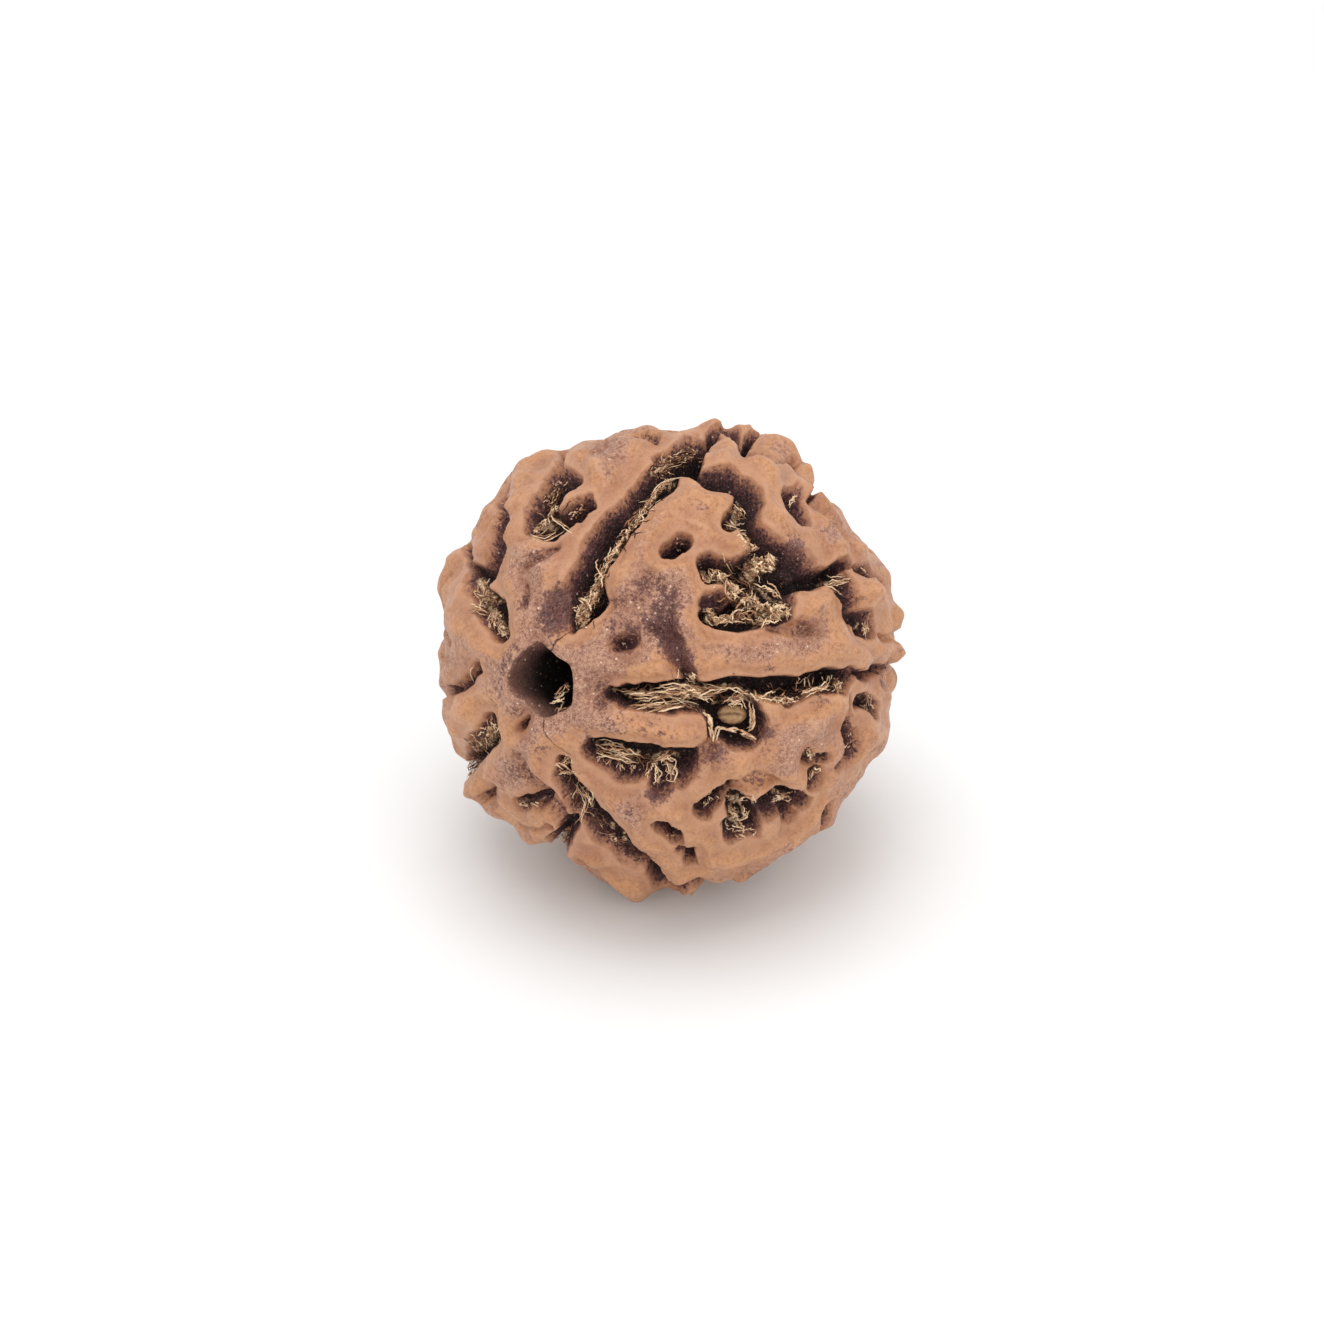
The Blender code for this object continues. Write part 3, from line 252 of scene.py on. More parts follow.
# The unseen side
CLEFT_STEP = 9.0
CLEFT_END = 168.0
CLEFT_SETTLING = 60.0
CLEFT_WANDER = 3.5
CLEFT_HALF_WIDTH = 0.75
CLEFT_TAPER_START = 130.0
CLEFT_TAPER = 0.35
CLEFT_VARIATION = 0.12
BRANCH_EVERY = 12
BRANCH_LENGTHS = (2.6, 4.2)
BRANCH_DEPTHS = (1.1, 1.8)
BRANCH_MARGIN = 3
BRANCH_LEAN = 0.7
BRANCH_BEND = 0.9
BRANCH_START_HALF = 0.55
BRANCH_END_HALVES = (0.5, 0.85)
BRANCH_WALLS = (0.3, 0.6)
BRANCH_START_SEEN = -0.05
BRANCH_END_SEEN = -0.02
PIT_TRIES = 900
PIT_LENGTHS = (0.6, 1.0, 1.6, 2.4, 3.4)
PIT_DEPTHS = (0.6, 1.7)
PIT_HALF_WIDTHS = (0.35, 0.9)
PIT_LEAST_TAPER = 0.6
PIT_BEND = 1.2
PIT_WALL = 0.35
PIT_SEEN = -0.1
PIT_ROOM = 1.35
PATH_ROOM = 1.1
PATH_STEP = 0.7
POLE_ROOM = 158.0
REST_CLEARANCE = 0.95
KNOBS_UNSEEN = 46
KNOB_HEIGHTS = (0.15, 0.6)
KNOB_REACHES = (0.6, 1.3)
KNOBS_SEEN = -0.25
SEED = 108

# Fine triangles, the grain that only they can hold, and the hole and cracks cut into them
SPHERE_SUBDIVISIONS = 8
SEED_TRIANGLES = 188000
GRAIN_LENGTH = 1.2
GRAIN_HEIGHT = 0.06
LUMP_LENGTH = 0.42
LUMP_HEIGHT = 0.14
GRAIN_OCTAVES = 3
# Rings of the hole's cutter above the mouth, in it and along the hole, and the steps between these groups
OUTER_RINGS = 4
MOUTH_RINGS = 12
HOLE_RINGS = 50
MOUTH_STEP = 0.1
HOLE_STEP = 0.3
HOLE_SIDES = 64
HOLE_ROUGHNESS = 0.08
# How fine that roughness is round the hole and along it, and how many octaves it has
ROUGH_ROUND = 1.4
ROUGH_ALONG = 0.8
ROUGH_OCTAVES = 4
CUTTER_REACH = 17.0
# How far inside the hole or a crack its colours begin and end: brown at the mouth, then painted shade
# darkening to near black
SUNK_START = 0.04
SUNK_FULL = 1.8
# Cracks: how far they wander, how their width varies, and the share of it that is left at the bottom
CRACK_WANDER = 0.02
CRACK_VARIATION = (0.6, 1.3)
CRACK_FLOOR = 0.3

# A groove's depth from which it looks dark, and the span over which shallower ones fade
PALE_DEPTH = 0.35
DARKENING = 0.45
LEAST_DARK = 0.2

# Matted fibre that fills the floor of a groove, round the fibres of these kinds
MATTING = ("long", "net", "curly", "frayed", "chip", "clump")
MAT_REACH = 0.11
MAT_SPAN = 2.2
MAT_STEPS = 3
MAT_DEPTH = 1.0
MAT_HEIGHT = 0.16
MAT_ROUGHNESS = 0.3
MAT_LENGTH = 0.5
MAT_SEEN = -0.05
# On the unseen side: how it sets in (start and slope), its mean, how much it varies and over what length
MAT_ONSET = (0.5, 3)
MAT_MEAN = 0.35
MAT_VARIATION = 0.6
MAT_PATCHES = 1.5

# Purple stains on the raised parts: strength, reach, place in the drawing
STAINS = (
    (1.4, 0.55, (0.0, 0.9)), (1.3, 0.5, (0.3, 0.3)), (0.9, 0.5, (0.9, -0.6)), (0.8, 0.5, (-0.6, 1.4)),
    (0.9, 0.4, (0.6, -0.1)), (0.9, 0.4, (-0.2, 1.7)), (0.4, 0.5, (-8.2, -1.3)), (0.45, 0.5, (-7.95, -0.3)),
    (0.6, 0.4, (-7.6, 0.5)), (0.5, 0.5, (-7.6, -2.6)), (0.9, 0.6, (-5.9, 2.4)), (0.9, 0.6, (-5.6, 3.2)),
    (0.65, 0.6, (-0.1, 2.4)), (0.6, 0.7, (-0.25, 3.2)), (0.5, 0.5, (-1.05, 3.8)), (0.5, 0.5, (-1.7, 3.2)),
    (0.5, 0.5, (-1.1, 2.1)), (0.35, 0.6, (-2.9, 3.0)), (0.4, 0.6, (-3.0, 1.8)), (0.55, 0.6, (-1.7, 1.3)),
    (0.6, 0.6, (-2.3, 0.8)), (0.8, 0.75, (-5.85, 1.65)), (0.5, 0.5, (-5.5, 2.5)), (0.5, 0.3, (-7.35, 2.6)),
    (0.5, 0.3, (-7.1, 3.1)), (0.6, 0.45, (-6.5, 4.9)), (0.5, 0.35, (-6.0, 5.4)), (0.4, 0.4, (1.45, 7.4)),
    (0.8, 0.75, (6.2, 5.5)), (0.7, 0.5, (6.6, 4.8)), (0.6, 0.45, (5.4, 1.45)), (0.5, 0.5, (6.6, 1.6)),
    (0.4, 0.4, (2.6, 0.1)), (0.55, 0.25, (4.25, 0.1)), (0.4, 0.35, (4.8, -0.4)), (0.4, 0.4, (7.4, 6.2)),
    (0.6, 0.5, (-7.5, -5.7)), (0.5, 0.4, (-8.0, -5.4)), (0.5, 0.5, (-3.4, -2.1)), (0.6, 0.5, (-4.1, -4.1)),
    (0.9, 0.5, (-0.9, -6.8)), (0.6, 0.6, (-0.3, -6.7)), (0.45, 0.6, (-6.3, -4.5)), (0.3, 0.6, (-8.6, -2.0)),
    (0.6, 0.6, (4.7, -3.6)), (0.6, 0.5, (2.6, -4.4)), (0.6, 0.6, (1.9, -4.9)), (0.6, 0.6, (1.0, -5.5)),
    (0.5, 0.5, (4.2, -6.1)), (0.4, 0.5, (-2.1, -7.6)), (0.4, 0.8, (8.86, 2.6)), (0.4, 0.6, (-7.6, -0.3)),
    (0.5, 0.5, (7.4, -2.1)), (0.4, 0.5, (-3.6, -1.2)), (0.4, 0.7, (2.2, 2.9)), (0.35, 0.5, (5.2, -1.1)),
    (0.3, 1.0, (-2.6, -3.2)), (0.3, 1.0, (-0.6, -3.4)), (0.2, 1.0, (4.6, -4.3)),
)
STAIN_LENGTH = 2.6
# Dusty places, and polished ones where the strength is negative: strength, reach, place in the drawing
DUSTY = (
    (0.9, 2.6, (-6.2, -1.2)), (0.8, 1.6, (-3.6, -1.0)), (0.6, 1.5, (-3.4, -3.4)), (0.8, 1.6, (-6.3, 4.3)),
    (0.7, 1.4, (-2.2, 2.2)), (0.8, 1.6, (-0.2, 2.6)), (0.5, 1.6, (0.0, 6.0)), (0.8, 1.6, (-1.4, -7.4)),
    (0.6, 1.3, (2.0, -5.0)), (0.6, 1.5, (5.6, -3.9)), (0.5, 1.5, (4.2, 0.6)), (0.6, 1.2, (6.2, 1.6)),
    (0.6, 1.5, (7.4, 6.2)), (0.5, 1.5, (-3.2, 10.0)), (0.6, 1.4, (-7.9, -5.3)), (0.5, 1.2, (-4.6, -9.3)),
    (-0.8, 0.6, (-8.0, -3.8)), (-0.9, 0.9, (5.0, -2.7)), (-0.9, 0.9, (3.9, -5.1)), (-0.8, 0.8, (9.8, 3.0)),
    (-0.7, 1.0, (-5.2, -6.9)), (-0.7, 1.0, (-4.6, -4.9)), (-0.6, 1.2, (-9.9, -2.6)),
    (-0.5, 1.2, (2.4, -8.9)), (-0.6, 1.4, (0.6, 7.6)), (-0.5, 1.4, (5.4, 8.8)), (-0.6, 1.2, (-5.4, 4.2)),
    (-0.7, 0.9, (-0.6, -1.0)),
)
DUST_LENGTH = 3.4
# The same on the unseen side: how it sets in (start and slope), the limits there, and the limits overall
PAINT_ONSET = (0.3, 2)
PAINT_LIMITS = (-0.5, 1)
PAINT_RANGE = (-1, 1.2)

# Kinds of dry strands: length, lowest and highest share of the way from the floor up to the rim, turn away
# from the path and its spread, curl, tone from brown 0 to cream 1, radius
STRANDS = {
    "long": (1.4, 0.4, 0.95, 0, 7, 0.12, 0.72, 0.04),
    "thick": (1.2, 0.6, 0.95, 0, 6, 0.1, 0.78, 0.05),
    "bar": (0.8, 0.75, 1.0, 0, 4, 0.08, 0.8, 0.06),
    "deep": (0.8, 0.05, 0.45, 0, 30, 0.3, 0.25, 0.035),
    "net": (0.7, 0.5, 0.95, 0, 16, 0.2, 0.8, 0.045),
    "crumb": (0.2, 0.3, 0.85, 0, 50, 0.3, 0.6, 0.035),
    "chip": (0.3, 0.5, 1.0, 0, 22, 0.2, 0.78, 0.042),
    "clump": (0.35, 0.35, 0.9, 0, 80, 0.3, 0.85, 0.06),
    "dot": (0.08, 0.05, 0.4, 0, 90, 0.1, 0.8, 0.03),
    "frayed": (0.4, 0.4, 0.95, 0, 45, 0.3, 0.82, 0.036),
    "curly": (0.55, 0.3, 0.85, 0, 60, 0.3, 0.72, 0.036),
    "hanging": (0.35, 0.5, 0.9, -90, 20, 0.3, 0.8, 0.03),
    "arc": (2.4, 0.7, 1.0, 0, 3, 0.05, 0.85, 0.04),
}
# Paths in the drawing that several kinds share: the upper cleft's lower end, its belt and its upper end,
# and the bridge at the right of the middle cleft with the piece beyond it
CLEFT_START = ((-4.75, 1.75), (-4.4, 2.4), (-4.15, 2.9))
BELT = ((-4.45, 1.45), (-4.2, 2.1), (-3.8, 3.1), (-3.45, 4.1), (-2.95, 5.1), (-2.35, 6.0), (-1.7, 6.9),
        (-1.05, 7.75), (-0.5, 8.45), (0.1, 8.95))
CLEFT_TOP = ((-0.9, 9.0), (-0.4, 9.5), (0.5, 10.0), (1.3, 10.4))
BRIDGE = ((3.9, -1.75), (4.9, -2.0), (5.8, -2.1), (6.45, -2.0))
BRIDGE_END = ((6.3, -1.95), (7.1, -1.62), (7.95, -1.3))
# Where they lie: kind, count, scatter beside the path, path in the drawing
FIBRES = (
    # Middle cleft
    ("long", 14, 0.08, ((-2.9, -1.6), (-1.5, -1.7), (-0.1, -1.35), (1.05, -1.38), (2.1, -1.5),
                        (3.05, -1.4), (3.75, -1.7), (4.2, -2.0))),
    ("long", 8, 0.09, ((-2.3, -1.8), (-1.3, -1.95), (0.2, -1.85), (1.2, -2.05))),
    ("long", 12, 0.07, ((-2.2, -2.55), (-0.9, -2.38), (0.2, -2.3), (1.0, -2.42), (1.6, -2.7))),
    ("deep", 46, 0.26, ((-2.2, -1.9), (0, -1.9), (1.5, -1.8), (3, -1.75), (4.5, -1.75), (6, -1.6),
                        (7.5, -1.35))),
    ("net", 24, 0.1, ((0.5, -1.65), (1.5, -1.7), (2.25, -1.95))),
    ("frayed", 24, 0.2, ((-1.5, -2.0), (0.0, -1.9), (2.0, -1.9))),
    ("net", 12, 0.07, ((2.2, -2.35), (2.9, -2.1), (3.6, -1.98), (4.1, -2.2))),
    ("frayed", 16, 0.07, BRIDGE), ("clump", 14, 0.06, BRIDGE),
    ("thick", 10, 0.1, ((-2.6, -1.75), (-1.0, -1.75), (0.5, -1.6), (2.2, -1.8))),
    ("thick", 6, 0.05, ((-2.0, -2.5), (-0.5, -2.3), (1.2, -2.5))),
    ("net", 14, 0.07, BRIDGE),
    ("thick", 4, 0.03, BRIDGE_END), ("net", 6, 0.06, BRIDGE_END),
    ("frayed", 22, 0.08, ((8.2, -1.0), (8.3, -1.35), (8.45, -1.85))),
    ("hanging", 10, 0.08, ((6.2, -1.0), (7.0, -0.95), (8.2, -0.8))),
    ("frayed", 8, 0.08, ((0.2, -0.6), (0.4, -0.95))),
    ("frayed", 9, 0.07, ((0.9, -0.85), (1.15, -1.1))),
    # Net round the bay below it
    ("bar", 10, 0.05, ((1.6, -2.65), (1.85, -3.0), (2.05, -3.6), (2.1, -4.3))),
    ("bar", 8, 0.05, ((2.1, -4.2), (2.35, -3.5), (2.9, -3.6), (3.6, -3.75), (4.3, -4.0))),
    ("bar", 7, 0.04, ((3.85, -2.1), (4.02, -2.7), (4.05, -3.4), (3.7, -3.7))),
    ("bar", 4, 0.04, ((3.4, -3.65), (3.8, -3.85), (4.4, -4.1))),
    # Long pit below the finger lobe
    ("long", 8, 0.06, ((-3.85, -4.35), (-2.6, -4.55), (-1.2, -5.05))),
    ("long", 8, 0.06, ((-3.8, -4.75), (-2.8, -4.95), (-1.7, -5.3))),
    ("net", 8, 0.08, ((-3.2, -4.5), (-2.0, -4.85))),
    ("hanging", 16, 0.05, ((-3.7, -4.95), (-2.6, -5.2), (-1.5, -5.45))),
    ("net", 9, 0.07, ((-1.35, -5.95), (-0.9, -5.25), (-0.75, -5.8), (-0.65, -6.5))),
    ("net", 8, 0.07, ((-0.3, -5.05), (0.0, -5.6), (0.2, -6.3))),
    ("net", 7, 0.08, ((-0.9, -5.15), (-0.3, -4.95), (0.3, -5.05))),
    ("deep", 26, 0.2, ((-3.6, -4.7), (-1.8, -5.0), (0.6, -5.4))),
    # Upper cleft
    ("crumb", 110, 0.09, BELT), ("deep", 60, 0.14, BELT), ("frayed", 36, 0.06, BELT),
    ("net", 30, 0.07, BELT), ("chip", 80, 0.06, BELT), ("long", 10, 0.07, BELT),
    ("chip", 60, 0.15, ((-4.6, 1.5), (-4.3, 2.3), (-4.0, 3.0), (-3.7, 3.7))),
    ("frayed", 26, 0.13, CLEFT_START),
    ("crumb", 60, 0.16, ((-4.75, 1.75), (-4.4, 2.4), (-4.15, 2.9), (-3.9, 3.6))),
    ("clump", 12, 0.12, CLEFT_START), ("crumb", 90, 0.25, CLEFT_TOP), ("deep", 60, 0.25, CLEFT_TOP),
    ("frayed", 14, 0.06, ((-0.75, 9.2), (-0.35, 9.65))),
    ("arc", 3, 0.03, ((-0.9, 8.1), (-0.4, 8.7), (0.3, 8.95))),
    # Big cavity and the slot above it
    ("curly", 22, 0.13, ((1.6, 4.4), (1.75, 3.9), (2.3, 4.2), (2.65, 3.7))),
    ("net", 12, 0.08, ((2.3, 4.35), (2.75, 3.75), (3.2, 3.35), (3.7, 3.2))),
    ("clump", 26, 0.14, ((3.9, 4.75), (4.4, 4.7), (4.9, 4.9), (5.2, 5.1))),
    ("clump", 24, 0.16, ((4.1, 4.9), (4.6, 4.7), (5.1, 4.6))),
    ("clump", 16, 0.1, ((2.8, 3.5), (3.2, 3.2), (3.6, 3.1))),
    ("net", 8, 0.05, ((4.2, 4.6), (4.2, 4.1), (4.4, 3.7), (5.0, 3.3), (5.6, 2.9))),
    ("net", 8, 0.06, ((4.6, 2.2), (5.2, 2.5), (5.9, 2.7))),
    ("net", 6, 0.05, ((4.3, 1.6), (4.8, 1.9), (5.5, 2.1))),
    ("frayed", 26, 0.15, ((4.7, 2.5), (5.3, 2.2), (5.9, 2.4))),
    ("clump", 22, 0.14, ((3.7, 4.2), (4.1, 4.3), (4.3, 4.7))),
    ("clump", 14, 0.1, ((2.4, 4.3), (2.9, 3.7), (3.4, 3.3))),
    ("clump", 34, 0.16, ((3.3, 2.9), (3.9, 2.7), (4.6, 2.5), (5.2, 2.4))),
    ("clump", 12, 0.06, ((1.8, 2.1), (2.4, 1.95), (3.2, 2.1))),
    ("frayed", 24, 0.13, ((4.1, 4.9), (4.6, 4.65), (5.2, 5.1))),
    ("curly", 16, 0.12, ((3.7, 4.2), (4.1, 4.5), (4.3, 3.9))),
    ("frayed", 40, 0.14, ((3.6, 3.0), (4.1, 2.75), (4.6, 2.6))),
    ("net", 24, 0.08, ((1.7, 2.1), (2.1, 1.85), (2.9, 1.95), (3.6, 2.15), (4.3, 1.75))),
    ("frayed", 26, 0.08, ((4.3, 1.75), (5.0, 2.0), (5.5, 2.15), (6.1, 2.3))),
    ("frayed", 10, 0.07, ((1.75, 2.5), (2.0, 2.2), (2.2, 1.95))),
    ("curly", 22, 0.12, ((3.35, 7.6), (3.2, 7.0), (2.9, 6.5))),
    ("frayed", 22, 0.08, ((2.8, 6.5), (3.4, 6.35), (3.7, 5.9), (4.2, 5.3))),
    ("clump", 16, 0.07, ((2.9, 6.45), (3.4, 6.3), (3.7, 5.9), (4.2, 5.3))),
    ("deep", 50, 0.35, ((2.0, 4.4), (3.0, 4.2), (3.9, 3.6), (3.8, 2.9), (3.6, 2.4), (2.3, 2.3))),
    ("thick", 4, 0.06, ((5.8, 7.5), (6.05, 7.9), (6.25, 8.3))),
    # Right end
    ("thick", 4, 0.03, ((7.26, 3.87), (8.0, 3.45), (8.75, 3.0))),
    ("long", 10, 0.1, ((7.6, 3.7), (8.3, 3.85), (9.1, 4.0))),
    ("frayed", 20, 0.12, ((9.45, 1.6), (9.9, 1.4))),
    ("frayed", 4, 0.08, ((9.4, 4.5), (9.75, 4.2))),
    # Upper left cavity
    ("arc", 4, 0.04, ((-7.2, 6.35), (-6.9, 6.05), (-6.4, 5.95), (-5.8, 6.2), (-5.2, 6.6))),
    ("clump", 10, 0.12, ((-6.9, 6.5), (-6.4, 6.6), (-6.0, 7.0))),
    ("curly", 14, 0.12, ((-6.8, 6.5), (-6.3, 6.6), (-6.0, 7.0))),
    ("frayed", 14, 0.1, ((-6.0, 7.0), (-5.8, 7.4), (-5.55, 7.6))),
    ("arc", 2, 0.03, ((-5.9, 7.3), (-5.8, 6.95), (-5.4, 6.6))),
    ("crumb", 40, 0.22, ((-6.2, 7.7), (-5.7, 8.4), (-5.4, 8.9))),
    ("crumb", 26, 0.1, ((-5.1, 7.0), (-4.6, 7.3), (-4.2, 7.5))),
    ("deep", 30, 0.3, ((-6.7, 6.7), (-6.0, 7.4), (-5.5, 8.5))),
    # Left cavity and the one below the hole
    ("long", 5, 0.1, ((-10.2, 3.25), (-9.4, 3.05), (-8.6, 2.9))),
    ("long", 5, 0.1, ((-10.15, 2.4), (-9.5, 2.4), (-8.86, 2.1))),
    ("frayed", 40, 0.14, ((-8.95, 2.2), (-8.5, 1.5), (-8.1, 1.0))),
    ("curly", 40, 0.25, ((-9.6, 3.8), (-9.2, 2.8), (-8.7, 1.7))),
    ("clump", 14, 0.15, ((-9.4, -4.2), (-9.0, -3.8), (-8.7, -3.2))),
    ("curly", 36, 0.25, ((-10.0, -4.6), (-9.4, -4.0), (-8.7, -3.1))),
    ("frayed", 24, 0.12, ((-9.2, -4.3), (-8.9, -3.8), (-8.7, -3.2))),
    ("arc", 2, 0.02, ((-9.8, -0.35), (-10.0, -0.75), (-9.8, -1.2))),
    # Hole's mouth
    ("frayed", 4, 0.04, ((-5.35, -1.35), (-4.95, -1.5))),
    ("net", 4, 0.04, ((-5.85, -1.9), (-5.05, -1.75))),
    ("net", 5, 0.05, ((-6.05, -2.6), (-5.6, -2.4), (-5.1, -2.2))),
    # Lower cleft
    ("frayed", 14, 0.09, ((-5.75, -5.5), (-5.4, -5.2), (-5.05, -4.9))),
    ("net", 4, 0.05, ((-5.6, -5.65), (-5.05, -5.65))),
    ("net", 6, 0.06, ((-4.7, -6.4), (-4.1, -7.0), (-4.0, -7.4))),
    ("arc", 3, 0.03, ((-4.75, -6.3), (-4.2, -7.1), (-4.45, -8.0))),
    ("frayed", 9, 0.08, ((-3.0, -8.6), (-2.75, -9.2))),
    ("frayed", 6, 0.08, ((-2.3, -8.8), (-2.4, -9.3))),
    ("deep", 40, 0.2, ((-5.3, -5.6), (-4.3, -7.6), (-2.7, -9.1), (-1.0, -10.4))),
    ("frayed", 12, 0.09, ((-7.65, -7.25), (-7.1, -7.35), (-6.5, -7.2))),
    # Pits low on the right
    ("net", 12, 0.05, ((3.4, -7.3), (3.7, -7.75), (3.4, -8.05), (3.05, -7.7), (3.3, -7.35))),
    ("net", 9, 0.05, ((3.2, -7.2), (3.9, -6.95), (4.2, -7.3))),
    ("net", 10, 0.08, ((2.9, -8.0), (3.3, -8.35), (3.9, -8.9))),
    ("frayed", 5, 0.09, ((2.7, -6.7), (3.0, -7.1))),
    ("hanging", 8, 0.1, ((1.5, -7.1), (1.8, -7.0), (2.2, -6.7))),
    ("net", 9, 0.08, ((5.0, -7.0), (5.6, -6.95), (6.05, -7.1))),
    ("frayed", 5, 0.07, ((4.1, -9.0), (4.3, -8.6))),
    ("net", 7, 0.04, ((6.6, -4.9), (6.75, -4.6), (7.05, -4.65), (7.2, -4.9))),
    ("net", 3, 0.04, ((7.1, -5.5), (7.5, -5.65))),
    ("net", 3, 0.04, ((7.1, -5.5), (7.05, -5.95))),
    ("frayed", 12, 0.09, ((9.6, -1.95), (9.95, -2.1), (9.95, -2.6))),
    ("crumb", 12, 0.12, ((8.8, -3.6), (8.9, -4.4))),
    ("dot", 12, 0.2, ((0.2, 5.4), (0.6, 5.8))),
    ("dot", 8, 0.15, ((-2.5, 0.85), (-2.1, 0.88))),
    ("dot", 6, 0.1, ((0.5, -9.75), (0.85, -9.8))),
    ("dot", 6, 0.1, ((-0.1, -8.7), (0.3, -8.9))),
)
STRAND_POINTS = 10
STRAND_SIDES = 3
STRAND_FLATNESS = 0.6
# The longest a strand may be: this share of its path's length, and this much more
PATH_SHARE = 1.1
PATH_EXCESS = 0.3
# Step along a path that shows which way it runs
AHEAD = 0.05
LENGTH_VARIATION = 0.4
TONE_VARIATION = 0.26
RADIUS_VARIATION = (0.55, 1.3)
WIGGLE = 0.07
LEAST_WIGGLE = 0.25
FULL_WIGGLE_SPREAD = 20
TAPER_SLOPE = 4
TIP_WIDTH = 0.3
STRAND_CLEARANCE = 0.02
LEAST_ROOM = 0.25
RAY_START = 4.0

# Strands on the unseen side: how many of each kind a millimetre, and in which grooves
UNSEEN_PER_MM = {"deep": 3.5, "curly": 3.0, "frayed": 3.0, "long": 1.2, "crumb": 3.0}
UNSEEN_LEAST_DEPTH = 0.9
UNSEEN_LEAST_LENGTH = 0.2
UNSEEN_SCATTER = 0.35
UNSEEN_FACING = 0.02

# The oval grain: place in the drawing, half sizes, how far it sinks in, its crease, its ridges, and its tone
# with painted shade in the crease and towards its outline
BEAN_PLACE = (3.05, -2.82)
BEAN_HALVES = (0.68, 0.46, 0.36)
BEAN_SINK = 0.5
BEAN_SUBDIVISIONS = 5
BEAN_CREASE = 0.1
CREASE_WIDTH = 0.16
CREASE_SWAY = 0.1
RIDGE_HEIGHT = 0.03
BEAN_ROUGHNESS = 0.05
BEAN_TONE = 0.42
CREASE_PAINTED_SHADE = 2.2
EDGE_PAINTED_SHADE = 0.35

# Colours, linear
RIM_ORANGE = (0.52, 0.238, 0.096)
# Painted highlight along the edge just outside the rims
RIM_PAINTED_HIGHLIGHT = (0.7, 0.4, 0.24)
FLAT_PINK = (0.36, 0.17, 0.12)
SKIN_BROWN = (0.38, 0.165, 0.09)
SKIN_PALE = (0.6, 0.35, 0.225)
# Painted shade in the hollows and painted light on the heights of the relief
HOLLOW_PAINTED_SHADE = (0.3, 0.12, 0.07)
HEIGHT_PAINTED_LIGHT = (0.66, 0.37, 0.23)
SPECK_BROWN = (0.235, 0.098, 0.059)
SPECK_PALE = (0.74, 0.46, 0.35)
SPECK_RED = (0.25, 0.115, 0.095)
STAIN_DUST = (0.4, 0.2, 0.16)
DUSTY_PURPLE = (0.11, 0.041, 0.038)
DARK_PURPLE = (0.04, 0.016, 0.018)
NEAR_BLACK = (0.012, 0.006, 0.006)
GLINT = (0.9, 0.66, 0.52)
FLOOR_COLOUR = (0.89, 0.9, 0.905)
SKY_COLOUR = (1, 0.995, 0.99)
# Ramps: place along the ramp, colour
GROOVE_SHADES = ((0.1, (0.21, 0.082, 0.062)), (0.26, DUSTY_PURPLE), (0.45, DARK_PURPLE), (0.8, NEAR_BLACK))
# Inside the hole and the cracks: brown at the mouth, then painted shade that darkens to near black deeper in
HOLE_PAINTED_SHADE = ((0.05, (0.26, 0.12, 0.085)), (0.45, (0.12, 0.055, 0.042)), (1.0, NEAR_BLACK))
MAT_SHADES = ((0.1, (0.035, 0.015, 0.009)), (0.5, (0.22, 0.095, 0.045)), (0.85, (0.52, 0.29, 0.15)),
              (1.0, (0.92, 0.66, 0.42)))
FIBRE_SHADES = ((0.0, (0.06, 0.022, 0.014)), (0.3, (0.24, 0.095, 0.048)), (0.6, (0.56, 0.29, 0.15)),
                (1.0, (1.0, 0.74, 0.48)))
BEAN_SHADES = ((0.0, (0.04, 0.02, 0.01)), (0.25, (0.18, 0.09, 0.036)), (0.5, (0.5, 0.3, 0.14)))
# Depth of groove at the end of its ramp
DEEPEST = 2.0
# Noises in the materials: size of their features, detail, roughness and, so that they differ, a shift
MOTTLE = (0.5, 4, 0.7, 3)
SPECKLE = (0.2, 3, 0.7, 7)
GRIT = (0.1, 2, 0.6)
BLOTCHES = (0.9, 3, 0.6)
BROAD_PATCHES = (4, 2, 0.5)
TANGLE_NET = (0.42, 2, 0.5, 5)
TANGLE_HAIR = (0.2, 2, 0.5, 9)
WALL_ROUGHNESS = (0.3, 4, 0.7)
FIBRE_PATCHES = (0.22, 3, 0.6)
FIBRE_GRAIN = (0.06, 2, 0.6)
BEAN_PATCHES = (0.2, 3, 0.6)
BEAN_GRAIN = (0.08, 3, 0.6)
# Shine, and the depth of the bumps
SEED_SPECULAR = 0.35
SEED_BUMP = 0.05
FIBRE_SPECULAR = 0.3
FIBRE_ROUGHNESS = 0.7
FIBRE_BUMP = 0.01
BEAN_SHEEN = 0.6
BEAN_BUMP = 0.02
BEAN_BUMP_SHARE = 0.8

# Studio, in metres and watts: the sky's strength overhead and at the horizon, the lamps' power and place
ZENITH = 0.72
HORIZON = 1.12
LAMPS = {"key": (0.36, (-0.02, -0.01, 0.285)), "fill": (0.12, (0.14, -0.24, 0.11))}
LAMP_SIZE = 0.2
FLOOR_SIZE = 3
FLOOR_ROUGHNESS = 0.9
# The camera's lens and near limit, and the shift of its axis in pixels of the photograph
LENS = 85
NEAREST = 0.001
AXIS_SHIFT = (-9, -4)
PHOTO_PIXELS = 1324

RISE = math.radians(EYE_ELEVATION)
RIGHT = np.array([1.0, 0.0, 0.0])
UP = np.array([0.0, math.sin(RISE), math.cos(RISE)])
TOWARD = np.array([0.0, -math.cos(RISE), math.sin(RISE)])
CENTRE = np.array([0.0, 0.0, CENTRE_HEIGHT])


def unit(vector):
    return vector / np.linalg.norm(vector)


def units(vectors):
    return vectors / np.linalg.norm(vectors, axis=-1, keepdims=True)


def seeded(name):
    return random.Random(f"{SEED} {name}")


def any_way(draw):
    """A vector in any direction."""
    return np.array([draw.gauss(0, 1) for _ in range(3)])


def within(points, centre, reach):
    """Which of the points lie nearer to the centre than reach."""
    return np.flatnonzero(((points - centre) ** 2).sum(axis=1) < reach**2)


